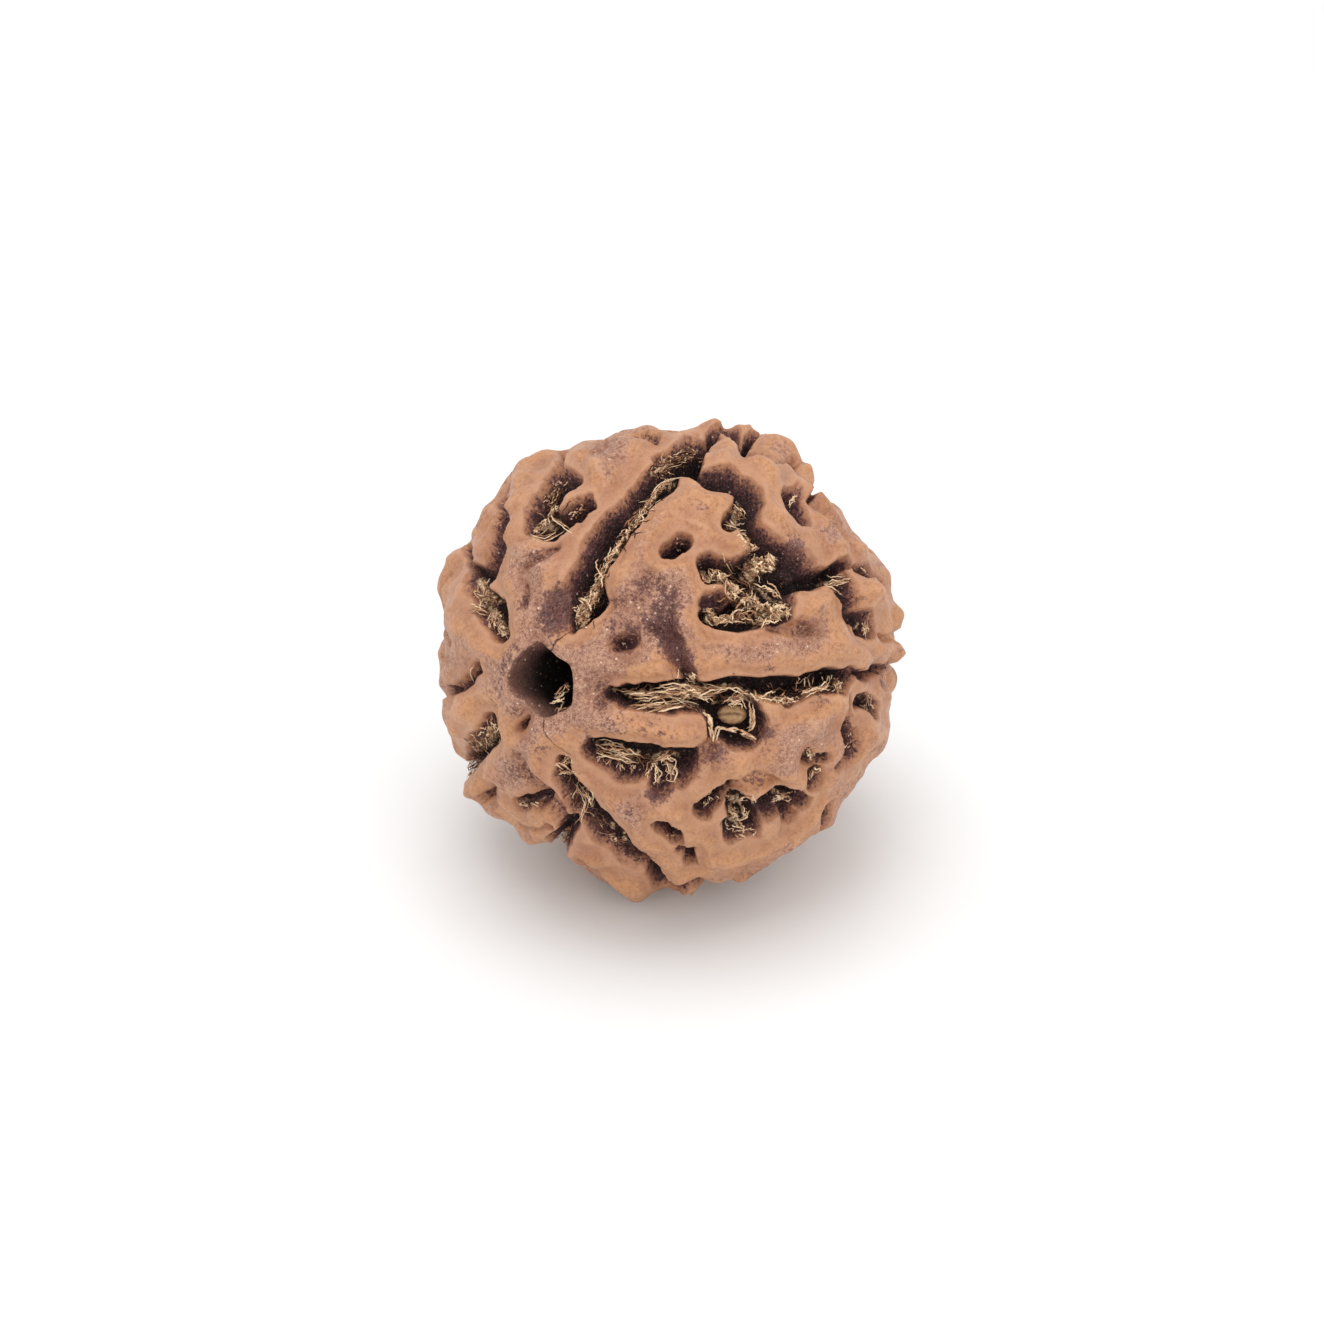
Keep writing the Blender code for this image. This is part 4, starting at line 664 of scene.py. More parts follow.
def waves(points, wavelength, name):
    """A smooth field of about unit strength, as a sum of plane waves in seeded directions."""
    draw = seeded(name)
    total = np.zeros(len(points))
    for _ in range(WAVES_IN_SUM):
        way = any_way(draw)
        way *= 2 * math.pi / (wavelength * np.linalg.norm(way))
        total += np.cos(points @ way + draw.uniform(0, 2 * math.pi))
    return total * math.sqrt(2 / WAVES_IN_SUM)


def sight_rays(places):
    """Unit directions from the eye through points of the drawing."""
    return units(np.outer(places[:, 0], RIGHT) + np.outer(places[:, 1], UP) - TOWARD * EYE_DISTANCE)


def on_sphere(places, radius):
    """The points on a sphere round the body's centre that these points of the drawing stand for."""
    eye = TOWARD * EYE_DISTANCE
    rays = sight_rays(places)
    nearest = eye - rays * (rays @ eye)[:, None]
    miss = np.linalg.norm(nearest, axis=1)
    front = nearest - rays * np.sqrt(np.maximum(radius**2 - miss**2, 0))[:, None]
    behind = (np.maximum(miss - radius, 0) / radius)[:, None]
    back = np.reshape(radius, (-1, 1)) * (nearest / miss[:, None] * np.cos(behind) + rays * np.sin(behind))
    return np.where((miss < radius)[:, None], front, back)


def scattered_knobs():
    """Seeded knobs on the side that the drawing doesn't reach, clear of the resting spot."""
    draw = seeded("knobs")
    found = []
    while len(found) < KNOBS_UNSEEN:
        way = unit(any_way(draw))
        height, reach = draw.uniform(*KNOB_HEIGHTS), draw.uniform(*KNOB_REACHES)
        if way @ TOWARD < KNOBS_SEEN and way[2] > -REST_CLEARANCE:
            found.append((height, reach, way))
    return found


LEAN = LEAN_HEIGHT * unit(UP - RIGHT)
KNOB_PLACES = [(height, reach, unit(on_sphere(np.array([place]), BODY_RADIUS)[0]))
               for height, reach, place in KNOBS]
KNOB_PLACES += scattered_knobs()


def swell(ways, way, reach):
    """A round bump of unit height over the unit directions, centred on one of them."""
    return np.exp(((ways @ way) - 1) * 2 * (BODY_RADIUS / reach) ** 2)


def plain_radius(ways):
    """Distance from the centre to the body along each unit direction, with its knobs but no grooves."""
    radius = BODY_RADIUS + ways @ LEAN + SWELL_HEIGHT * waves(ways * BODY_RADIUS, SWELL_LENGTH, "swell")
    for height, reach, way in KNOB_PLACES:
        radius += height * swell(ways, way, reach)
    return radius


def on_body(places):
    """The points at rim height that points of the drawing stand for, from the body's centre."""
    places = np.atleast_2d(np.asarray(places, float))
    radius = np.full(len(places), BODY_RADIUS)
    for _ in range(SETTLING_ROUNDS):
        ways = units(on_sphere(places, radius))
        radius = plain_radius(ways) - SHOULDER_DEPTH
    return ways * radius[:, None]


AXIS = unit(on_body(HOLE_MOUTH)[0])
MERIDIAN = on_body(MERIDIAN_PLACE)[0]
MERIDIAN = unit(MERIDIAN - AXIS * (MERIDIAN @ AXIS))
ACROSS = np.cross(AXIS, MERIDIAN)


def at_angles(round_axis, from_mouth):
    """The point of the body at these angles: round the axis, and away from the hole's near mouth."""
    turn, fall = math.radians(round_axis), math.radians(from_mouth)
    side = MERIDIAN * math.cos(turn) + ACROSS * math.sin(turn)
    return BODY_RADIUS * (AXIS * math.cos(fall) + side * math.sin(fall))


def angles_of(point):
    way = unit(point)
    turn = math.degrees(math.atan2(way @ ACROSS, way @ MERIDIAN)) % 360
    return turn, math.degrees(math.acos(max(-1.0, min(1.0, way @ AXIS))))


def smooth_run(run, steps=STEPS_IN_SPAN):
    """Points between the given ones on a curve through them all, with what each carries."""
    run = np.asarray(run, float)
    if len(run) < 3:
        return run
    padded = np.vstack([2 * run[0] - run[1], run, 2 * run[-1] - run[-2]])
    points = []
    for a, b, c, d in zip(padded, padded[1:], padded[2:], padded[3:]):
        for t in np.arange(steps) / steps:
            points.append(0.5 * (2 * b + (c - a) * t + (2 * a - 5 * b + 4 * c - d) * t**2
                                 + (3 * b - a - 3 * c + d) * t**3))
    points.append(run[-1])
    return np.array(points)


def groove(depth, left, right, run):
    """A groove ready to cut. Its run is rows of x, y, z and half width, brought onto the plain body here."""
    rows = smooth_run(run)
    ways = units(rows[:, :3])
    rows[:, :3] = ways * plain_radius(ways)[:, None]
    return depth, left, right, rows


def carried(drawing):
    """Rows of x, y, z and half width for points of the drawing."""
    drawing = np.array(drawing)
    return [*np.column_stack([on_body(drawing[:, :2]), drawing[:, 2] + HALF_WIDTH_GAIN])]


def drawn(depth, left, right, drawing):
    return groove(depth, left, right, carried(drawing))


def cleft_to_far_pole(turn, depth, left, right, drawing, draw):
    """A main cleft: its drawn stretch, and then its meridian round the back."""
    run = carried(drawing)
    last_turn, last_fall = angles_of(run[-1][:3])
    last_turn += 360 * round((turn - last_turn) / 360)
    last_half = run[-1][3]
    for fall in np.arange(last_fall + CLEFT_STEP, CLEFT_END, CLEFT_STEP):
        share = min(1.0, (fall - last_fall) / CLEFT_SETTLING)
        angle = last_turn + share * (turn - last_turn) + draw.uniform(-CLEFT_WANDER, CLEFT_WANDER)
        taper = CLEFT_TAPER * max(0.0, fall - CLEFT_TAPER_START) / (CLEFT_END - CLEFT_TAPER_START)
        wide = CLEFT_HALF_WIDTH - taper + draw.uniform(-CLEFT_VARIATION, CLEFT_VARIATION)
        run.append(np.array([*at_angles(angle, fall), last_half + share * (wide - last_half)]))
    return groove(depth, left, right, run)


def seen(point):
    """How squarely the eye of the drawing sees this point of the body: 1 in the middle, 0 at the edge."""
    return unit(point) @ TOWARD


def walk(start, way, length, bend, halves):
    """Rows along a bending path on the body, from start in the tangent direction way."""
    steps = max(2, int(round(length / PATH_STEP)))
    point, rows = start, [(*start, halves[0])]
    for step in range(1, steps + 1):
        normal = unit(point)
        way = unit(way - normal * (way @ normal))
        way = unit(way + np.cross(normal, way) * bend / steps)
        point = unit(point + way * length / steps) * BODY_RADIUS
        rows.append((*point, halves[0] + (halves[1] - halves[0]) * step / steps))
    return rows


def places_of(rows):
    return [np.array(row[:3]) for row in rows]


def branches(clefts, draw):
    """Valleys that leave the clefts on the unseen side."""
    found = []
    for _, _, _, run in clefts:
        for index in range(BRANCH_EVERY // 2, len(run) - BRANCH_MARGIN, BRANCH_EVERY):
            start = run[index][:3]
            along = unit(run[index + 1][:3] - start)
            side = np.cross(unit(start), along) * draw.choice((-1, 1))
            way = unit(side + along * draw.uniform(-BRANCH_LEAN, BRANCH_LEAN))
            halves = (BRANCH_START_HALF, draw.uniform(*BRANCH_END_HALVES))
            length, bend = draw.uniform(*BRANCH_LENGTHS), draw.uniform(-BRANCH_BEND, BRANCH_BEND)
            rows = walk(start, way, length, bend, halves)
            shape = (draw.uniform(*BRANCH_DEPTHS), draw.uniform(*BRANCH_WALLS), draw.uniform(*BRANCH_WALLS))
            unseen = seen(start) < BRANCH_START_SEEN and seen(places_of(rows)[-1]) < BRANCH_END_SEEN
            clear = all(unit(place)[2] > -REST_CLEARANCE for place in places_of(rows))
            if unseen and clear and angles_of(start)[1] < POLE_ROOM:
                found.append(groove(*shape, rows))
    return found


def pits(grooves, draw):
    """Pits on the unseen side, wherever there is room between the grooves."""
    found = []
    taken = [place for _, _, _, run in grooves for place in places_of(run[::2])]

    def free(place, room):
        clear = unit(place)[2] > -REST_CLEARANCE
        return clear and (np.linalg.norm(np.array(taken) - place, axis=1) > room).all()

    for _ in range(PIT_TRIES):
        place = BODY_RADIUS * unit(any_way(draw))
        way = unit(np.cross(unit(place), any_way(draw)))
        length, bend = draw.choice(PIT_LENGTHS), draw.uniform(-PIT_BEND, PIT_BEND)
        half, depth = draw.uniform(*PIT_HALF_WIDTHS), draw.uniform(*PIT_DEPTHS)
        narrow = half * draw.uniform(PIT_LEAST_TAPER, 1.0)
        if seen(place) > PIT_SEEN or angles_of(place)[1] > POLE_ROOM or not free(place, half + PIT_ROOM):
            continue
        rows = walk(place, way, length, bend, (half, narrow))
        if all(free(point, PATH_ROOM) for point in places_of(rows)):
            found.append(groove(depth, PIT_WALL, PIT_WALL, rows))
            taken += places_of(rows)
    return found


def all_grooves():
    draw = random.Random(SEED)
    clefts = [cleft_to_far_pole(*row, draw) for row in CLEFTS]
    grooves = clefts + [drawn(*row) for row in GROOVES]
    grooves += branches(clefts, draw)
    grooves += pits(grooves, draw)
    far_mouth = (*(-AXIS * BODY_RADIUS), FAR_FLARE_RADIUS)
    grooves.append(groove(FAR_FLARE_DEPTH, FAR_FLARE_WALL, FAR_FLARE_WALL, [far_mouth, far_mouth]))
    return grooves


ALL_GROOVES = all_grooves()


def rim_distance(points, run, left, right):
    """For each point, the distance outside the groove's rim and the wall's width there. EDGE_REACH stands
    for far away."""
    best = np.full(len(points), EDGE_REACH)
    wall = np.zeros(len(points))
    weight = np.full(len(points), LEAST_WEIGHT)
    for a, b in zip(run, run[1:]):
        along = b[:3] - a[:3]
        span = max(along @ along, LEAST_SPAN)
        middle = (a[:3] + b[:3]) / 2
        around = MOST_STRETCH * (EDGE_REACH + max(a[3], b[3])) + math.sqrt(span)
        near = within(points, middle, around)
        share = np.clip((points[near] - a[:3]) @ along / span, 0, 1)
        off = points[near] - a[:3] - share[:, None] * along
        sight = unit(middle - TOWARD * EYE_DISTANCE)
        facing = np.clip((unit(middle) @ -sight) / SQUARE_ENOUGH, 0, 1)
        off -= sight * (off @ sight)[:, None] * facing
        distance = np.sqrt((off**2).sum(axis=1))
        half = a[3] + share * (b[3] - a[3])
        beyond = distance - half
        side = off @ np.cross(unit(a[:3]), along) / (math.sqrt(span) * np.maximum(distance, LEAST_DISTANCE))
        width = np.minimum(right + (left - right) * (0.5 + 0.5 * side), half)
        best[near] = np.minimum(best[near], beyond)
        share = np.exp(-beyond / WALL_BLEND)
        wall[near] += share * width
        weight[near] += share
    return best, np.maximum(wall / weight, LEAST_WALL)


def groove_relief(points):
    """At each point of the body: the depth cut by the grooves, how far their edges are rounded off, the
    welt's height, the distance from the nearest rim, and the depth with shallow grooves counted less."""
    cut, dark, shoulder, welt = np.zeros((4, len(points)))
    clear = np.full(len(points), EDGE_REACH)
    for depth, left, right, run in ALL_GROOVES:
        centre = run[:, :3].mean(axis=0)
        extent = np.linalg.norm(run[:, :3] - centre, axis=1).max()
        near = within(points, centre, extent + MOST_STRETCH * (run[:, 3].max() + EDGE_REACH))
        beyond, wall = rim_distance(points[near], run, left, right)
        outside = np.maximum(beyond, 0)
        reach = SHOULDER_REACHES[0] + wall * (SHOULDER_REACHES[1] - SHOULDER_REACHES[0])
        share = np.clip(-beyond / wall, 0, 1) ** WALL_LIP
        strength = min(1.0, depth / SHOULDER_FULL_DEPTH)
        fallen = depth * share * share * (3 - 2 * share)
        cut[near] += fallen**BLEND_POWER
        shade = np.clip((depth - PALE_DEPTH) / DARKENING, LEAST_DARK, 1)
        dark[near] = np.maximum(dark[near], fallen * shade)
        shoulder[near] += (strength * SHOULDER_DEPTH * np.exp(-(outside / reach) ** 2)) ** BLEND_POWER
        raised = np.exp(-((outside - WELT_OFFSET) / WELT_REACH) ** 2)
        welt[near] += (strength * WELT_HEIGHT * raised) ** BLEND_POWER
        clear[near] = np.minimum(clear[near], outside + (1 - strength) * EDGE_REACH)
    blended = [total ** (1 / BLEND_POWER) for total in (cut, shoulder, welt)]
    return *blended, clear, dark


def grain(points, wavelength, octaves):
    """Fine irregular noise of about unit strength."""
    scaled = points / wavelength
    return np.array([noise.fractal(Vector(point), 1.0, 2.0, octaves) for point in scaled])


def seed_surface(ways):
    """Along each unit direction: distance from the centre to the surface, and what its colour depends on."""
    plain = plain_radius(ways)
    points = ways * plain[:, None]
    wavering = [WARP_REACH * waves(points, WARP_LENGTH, f"warp {k}") for k in "xyz"]
    fine = [FINE_WARP_REACH * waves(points, FINE_WARP_LENGTH, f"fine {k}") for k in "xyz"]
    cut, shoulder, welt, clear, dark = groove_relief(points + np.stack(wavering).T + np.stack(fine).T)
    in_groove = np.clip(cut / FLOOR_FULL_DEPTH, 0, 1)
    ripple = RIPPLE_HEIGHT * waves(points, RIPPLE_LENGTH, "ripple")
    floor = FLOOR_HEIGHT * in_groove * waves(points, FLOOR_LENGTH, "floor")
    lumps = LUMP_HEIGHT * in_groove**2 * grain(points, LUMP_LENGTH, GRAIN_OCTAVES)
    skin = GRAIN_HEIGHT * grain(points, GRAIN_LENGTH, GRAIN_OCTAVES)
    high = ripple + skin + welt * (1 - in_groove) - shoulder
    matted = mats(ways * (plain - cut)[:, None]) * np.clip(cut / MAT_DEPTH, 0, 1)
    filled = matted * (MAT_HEIGHT + MAT_ROUGHNESS * grain(points, MAT_LENGTH, GRAIN_OCTAVES))
    marks = {"depth": dark, "clear": clear, "high": high, "mat": matted}
    return plain - cut + high + floor + lumps + filled, marks


def drawing_places(points):
    """Where the eye sees these points in the drawing."""
    away = EYE_DISTANCE - points @ TOWARD
    return np.stack([points @ RIGHT, points @ UP]).T * (EYE_DISTANCE / away)[:, None]


def unseen_share(facing, onset):
    """How far round on the unseen side something is, from 0 to 1, by how squarely the eye faces it."""
    start, slope = onset
    return np.clip(start - facing * slope, 0, 1)


def mats(points):
    """How matted with dry fibre each point is, from 0 to 1: round the drawn fibres, and by a rule where the
    drawing doesn't reach."""
    places = drawing_places(points)
    total = np.zeros(len(points))
    for kind, _, scatter, path in FIBRES:
        if kind in MATTING:
            reach = MAT_REACH + scatter
            for place in smooth_run(path, MAT_STEPS):
                near = np.flatnonzero(np.abs(places - place).max(axis=1) < MAT_SPAN * reach)
                off = ((places[near] - place) ** 2).sum(axis=1)
                total[near] = np.maximum(total[near], np.exp(-off / reach**2))
    facing = units(points) @ TOWARD
    patches = np.clip(MAT_MEAN + MAT_VARIATION * grain(points, MAT_PATCHES, 2), 0, 1)
    return np.where(facing > MAT_SEEN, total, 0) + unseen_share(facing, MAT_ONSET) * patches


def painted(ways, spots, length):
    """How marked each direction is: by the drawn spots, and by a soft field on the side they don't reach."""
    total = np.zeros(len(ways))
    for strength, reach, place in spots:
        total += strength * swell(ways, unit(on_body(place)[0]), reach)
    field = np.clip(grain(ways * BODY_RADIUS + length, length, 2), *PAINT_LIMITS)
    return np.clip(total + unseen_share(ways @ TOWARD, PAINT_ONSET) * field, *PAINT_RANGE)


def placed(name, data):
    """A new object with this mesh, lamp or camera, in the scene."""
    made = bpy.data.objects.new(name, data)
    bpy.context.scene.collection.objects.link(made)
    return made


def new_mesh_object(name, vertices, faces):
    mesh = bpy.data.meshes.new(name)
    mesh.from_pydata([tuple(v) for v in vertices], [], [tuple(f) for f in faces])
    return placed(name, mesh)


def ball_mesh(name, subdivisions):
    """A mesh of unit radius in nearly equal triangles."""
    shape = bmesh.new()
    bmesh.ops.create_icosphere(shape, subdivisions=subdivisions, radius=1.0)
    mesh = bpy.data.meshes.new(name)
    shape.to_mesh(mesh)
    shape.free()
    return mesh


def vertex_array(mesh):
    places = np.empty(len(mesh.vertices) * 3)
    mesh.vertices.foreach_get("co", places)
    return places.reshape(-1, 3)


def set_values(mesh, name, values):
    layer = mesh.attributes.new(name, "FLOAT", "POINT")
    layer.data.foreach_set("value", np.asarray(values, np.float32))


def ring_faces(first, count, sides):
    """Faces round a tube whose vertices start at first, ring after ring, with a cap at each end."""
    last = first + (count - 1) * sides
    faces = []
    for ring in range(first, last, sides):
        for k in range(sides):
            a, b = ring + k, ring + (k + 1) % sides
            faces.append((a, a + sides, b + sides, b))
    return faces + [tuple(range(first, first + sides)), tuple(range(last, last + sides))[::-1]]


def lofted(name, rings):
    """A closed mesh through rings of points with equal counts, in millimetres from the body's centre."""
    rings = np.asarray(rings)
    faces = ring_faces(0, *rings.shape[:2])
    made = new_mesh_object(name, (rings.reshape(-1, 3) + CENTRE) * MM, faces)
    shape = bmesh.new()
    shape.from_mesh(made.data)
    bmesh.ops.recalc_face_normals(shape, faces=shape.faces)
    shape.to_mesh(made.data)
    shape.free()
    return made


def hole_cutter():
    """A rough taper along the hole's axis that opens into the drawn mouth."""
    side = unit(np.cross(AXIS, UP))
    other = np.cross(AXIS, side)
    turns = np.arange(HOLE_SIDES) * 2 * math.pi / HOLE_SIDES
    edge = on_body(MOUTH) + TOWARD * SHOULDER_DEPTH / (AXIS @ TOWARD)
    mouth = np.interp(turns, np.arctan2(edge @ other, edge @ side), np.hypot(edge @ side, edge @ other),
                      period=2 * math.pi)
    narrow = MOUTH_LEVEL - MOUTH_DEPTH
    heights = [*np.linspace(CUTTER_REACH, MOUTH_LEVEL, OUTER_RINGS),
               *np.linspace(MOUTH_LEVEL - MOUTH_STEP, narrow, MOUTH_RINGS),
               *np.linspace(narrow - HOLE_STEP, -CUTTER_REACH, HOLE_RINGS)]
    rings = []
    for height in heights:
        share = (CUTTER_REACH - height) / (2 * CUTTER_REACH)
        radius = HOLE_RADIUS_NEAR + share * (HOLE_RADIUS_FAR - HOLE_RADIUS_NEAR)
        opening = min(1.0, max(0.0, (height - narrow) / MOUTH_DEPTH)) ** MOUTH_CURVE
        ring = []
        for turn, wide in zip(turns, mouth):
            way = side * math.cos(turn) + other * math.sin(turn)
            spot = Vector(way * radius * ROUGH_ROUND + AXIS * height * ROUGH_ALONG)
            rough = HOLE_ROUGHNESS * noise.fractal(spot, 1.0, 2.0, ROUGH_OCTAVES)
            ring.append(AXIS * height + way * (radius * (1 + rough) + opening * (wide - radius)))
        rings.append(ring)
    return lofted("hole_cutter", rings)


def crack_cutter(half, depth, run):
    """A thin wedge that cuts one crack."""
    draw = seeded(f"crack {run}")
    line = on_body(smooth_run(run))
    tangents = np.gradient(line, axis=0)
    rings = []
    for place, along in zip(line, tangents):
        normal = unit(place)
        side = unit(np.cross(normal, along))
        place = place + side * draw.gauss(0, CRACK_WANDER)
        wide = half * draw.uniform(*CRACK_VARIATION)
        top, bottom = place + normal, place - normal * depth
        rings.append([top + side * wide, top - side * wide,
                      bottom - side * wide * CRACK_FLOOR, bottom + side * wide * CRACK_FLOOR])
    return lofted("crack_cutter", rings)


def seed_body():
    """The seed's surface as one fine mesh, with what its material needs kept at each vertex."""
    mesh = ball_mesh("seed_surface", SPHERE_SUBDIVISIONS)
    ways = units(vertex_array(mesh))
    radius = seed_surface(ways)[0]
    places = ways * radius[:, None] + CENTRE
    places[:, 2] = np.maximum(places[:, 2], 0)
    mesh.vertices.foreach_set("co", (places * MM).ravel())
    made = placed("seed_surface", mesh)
    fewer = made.modifiers.new("fewer_triangles", "DECIMATE")
    fewer.ratio = SEED_TRIANGLES / len(mesh.polygons)
    cutters = [hole_cutter()] + [crack_cutter(*row) for row in CRACKS]
    for cutter in cutters:
        cut = made.modifiers.new(cutter.name, "BOOLEAN")
        cut.operation = "DIFFERENCE"
        cut.solver = "MANIFOLD"
        cut.object = cutter
    made.data = bpy.data.meshes.new_from_object(made.evaluated_get(bpy.context.evaluated_depsgraph_get()))
    made.modifiers.clear()
    made.data.name = "seed_surface"
    for cutter in cutters:
        bpy.data.objects.remove(cutter)
    made.data.shade_smooth()
    mark_surface(made.data)
    return made


def mark_surface(mesh):
    """Keeps at each vertex what its colour depends on: groove depth, distance from a rim, height of the
    grain, matted fibre, stain, dust, and how far inside the hole or a crack it is."""
    points = vertex_array(mesh) / MM - CENTRE
    distance = np.linalg.norm(points, axis=1)
    ways = points / distance[:, None]
    radius, marks = seed_surface(ways)
    marks["stain"] = painted(ways, STAINS, STAIN_LENGTH)
    marks["dust"] = painted(ways, DUSTY, DUST_LENGTH)
    marks["sunk"] = np.clip((radius - distance - SUNK_START) / SUNK_FULL, 0, 1)
    for name, values in marks.items():
        set_values(mesh, name, values)


def beyond_ends(lengths, path, places):
    """Places along the path by length, carried straight on past its ends."""
    found = np.stack([np.interp(places, lengths, path[:, k]) for k in range(3)]).T
    first = unit(path[1] - path[0])
    last = unit(path[-1] - path[-2])
    found += np.minimum(places, 0)[:, None] * first
    return found + np.maximum(places - lengths[-1], 0)[:, None] * last


def strand_runs(kind, count, scatter, path, draw):
    """Centre lines of strands on the body, laid along a path on it: an array of count by points by xyz."""
    length, _, _, turn, spread, curl, _, _ = STRANDS[kind]
    path = smooth_run(path)
    lengths = np.concatenate([[0], np.cumsum(np.linalg.norm(np.diff(path, axis=0), axis=1))])
    longest = PATH_SHARE * lengths[-1] + PATH_EXCESS
    share = np.linspace(0, 1, STRAND_POINTS)
    runs = []
    for _ in range(count):
        own = min(length, longest) * (1 + draw.uniform(-LENGTH_VARIATION, LENGTH_VARIATION))
        angle = math.radians(turn + draw.gauss(0, spread))
        if draw.random() < 0.5 and not turn:
            angle += math.pi
        forward, aside = math.cos(angle) * own, math.sin(angle) * own
        start = draw.uniform(0, max(0.0, lengths[-1] - abs(forward))) + max(0.0, -forward)
        along = start + share * forward
        bend = draw.gauss(0, curl) * own * (share - share**2)
        wiggle = np.cumsum([draw.gauss(0, WIGGLE) for _ in share])
        wiggle *= min(1.0, spread / FULL_WIGGLE_SPREAD + LEAST_WIGGLE)
        off = draw.gauss(0, scatter) + (share - 0.5 * (turn == 0)) * aside + bend + wiggle * min(1.0, own)
        centre = beyond_ends(lengths, path, along)
        ahead = beyond_ends(lengths, path, along + AHEAD)
        side = units(np.cross(units(centre), ahead - centre))
        runs.append(centre + side * off[:, None])
    return np.array(runs)


def settle(runs, lifts, tree, from_eye):
    """Lays strand points between the floor below them and the rim's height, by lifts from 0 to 1. The second
    array says which strands lie in a groove."""
    flat = runs.reshape(-1, 3)
    ways = units(flat)
    rims = ways * (plain_radius(ways) - SHOULDER_DEPTH)[:, None]
    rays = units(rims - TOWARD * EYE_DISTANCE) if from_eye else -ways
    settled = np.full_like(rims, np.inf)
    for index, (rim, ray) in enumerate(zip(rims, rays)):
        hit = tree.ray_cast(Vector(rim - ray * RAY_START), Vector(ray))[0]
        if hit is not None:
            settled[index] = hit
    room = ((rims - settled) * -rays).sum(axis=1)
    settled += -rays * (np.clip(room, 0, RAY_START) * lifts.ravel() + STRAND_CLEARANCE)[:, None]
    room = room.reshape(lifts.shape)
    inside = np.isfinite(room).all(axis=1) & (room.mean(axis=1) > LEAST_ROOM)
    return settled.reshape(runs.shape), inside


def tube_mesh(name, runs, radii, tones):
    """One mesh of thin flattened tubes, tapering to both ends, each with its tone."""
    share = np.linspace(0, 1, STRAND_POINTS)
    taper = np.clip(TAPER_SLOPE * np.minimum(share, 1 - share) + TIP_WIDTH, 0, 1)
    tangents = units(np.gradient(runs, axis=1))
    sides = units(np.cross(tangents, runs))
    others = np.cross(sides, tangents) * STRAND_FLATNESS
    rings = []
    for turn in np.arange(STRAND_SIDES) * 2 * math.pi / STRAND_SIDES:
        thick = (radii[:, None] * taper)[:, :, None]
        rings.append(runs + thick * (sides * math.cos(turn) + others * math.sin(turn)))
    vertices = np.stack(rings, axis=2).reshape(-1, 3)
    faces = []
    for first in range(0, len(vertices), STRAND_POINTS * STRAND_SIDES):
        faces += ring_faces(first, STRAND_POINTS, STRAND_SIDES)
    made = new_mesh_object(name, (vertices + CENTRE) * MM, faces)
    set_values(made.data, "tone", np.repeat(tones, STRAND_POINTS * STRAND_SIDES))
    made.data.shade_smooth()
    return made


def lifts_of(runs, low, high, draw):
    """How high each strand point lies between floor and rim: each strand slopes and arches a little."""
    share = np.linspace(0, 1, STRAND_POINTS)
    lifts = []
    for _ in runs:
        start, end = draw.uniform(low, high), draw.uniform(low, high)
        arch = draw.uniform(0, (high - low) / 2)
        lifts.append(np.clip(start + share * (end - start) + arch * np.sin(math.pi * share), 0, 1))
    return np.array(lifts)


def fibres(name, rows, tree, from_eye):
    """One mesh of all the strands that these rows describe."""
    draw = seeded(name)
    runs, lifts, radii, tones = [], [], [], []
    for kind, count, scatter, path in rows:
        _, low, high, _, _, _, tone, radius = STRANDS[kind]
        runs.append(strand_runs(kind, count, scatter, path, draw))
        lifts.append(lifts_of(runs[-1], low, high, draw))
        radii += [radius * draw.uniform(*RADIUS_VARIATION) for _ in range(count)]
        tones += [min(1.0, max(0.0, draw.gauss(tone, TONE_VARIATION))) for _ in range(count)]
    settled, inside = settle(np.concatenate(runs), np.concatenate(lifts), tree, from_eye)
    return tube_mesh(name, settled[inside], np.array(radii)[inside], np.array(tones)[inside])


def seen_rows():
    """The drawn rows, with their paths carried onto the body."""
    return [(kind, count, scatter, on_body(path)) for kind, count, scatter, path in FIBRES]


def unseen_rows():
    """Rows for the clefts and pits that the drawing doesn't reach."""
    rows = []
    for depth, _, _, run in ALL_GROOVES:
        path = run[units(run[:, :3]) @ TOWARD < UNSEEN_FACING]
        if depth < UNSEEN_LEAST_DEPTH or len(path) < 2:
            continue
        if np.linalg.norm(path[-1, :3] - path[0, :3]) < UNSEEN_LEAST_LENGTH:
            continue
        span = np.linalg.norm(np.diff(path[:, :3], axis=0), axis=1).sum()
        for kind, per_mm in UNSEEN_PER_MM.items():
            rows.append((kind, int(span * per_mm) + 1, path[:, 3].mean() * UNSEEN_SCATTER, path[:, :3]))
    return rows


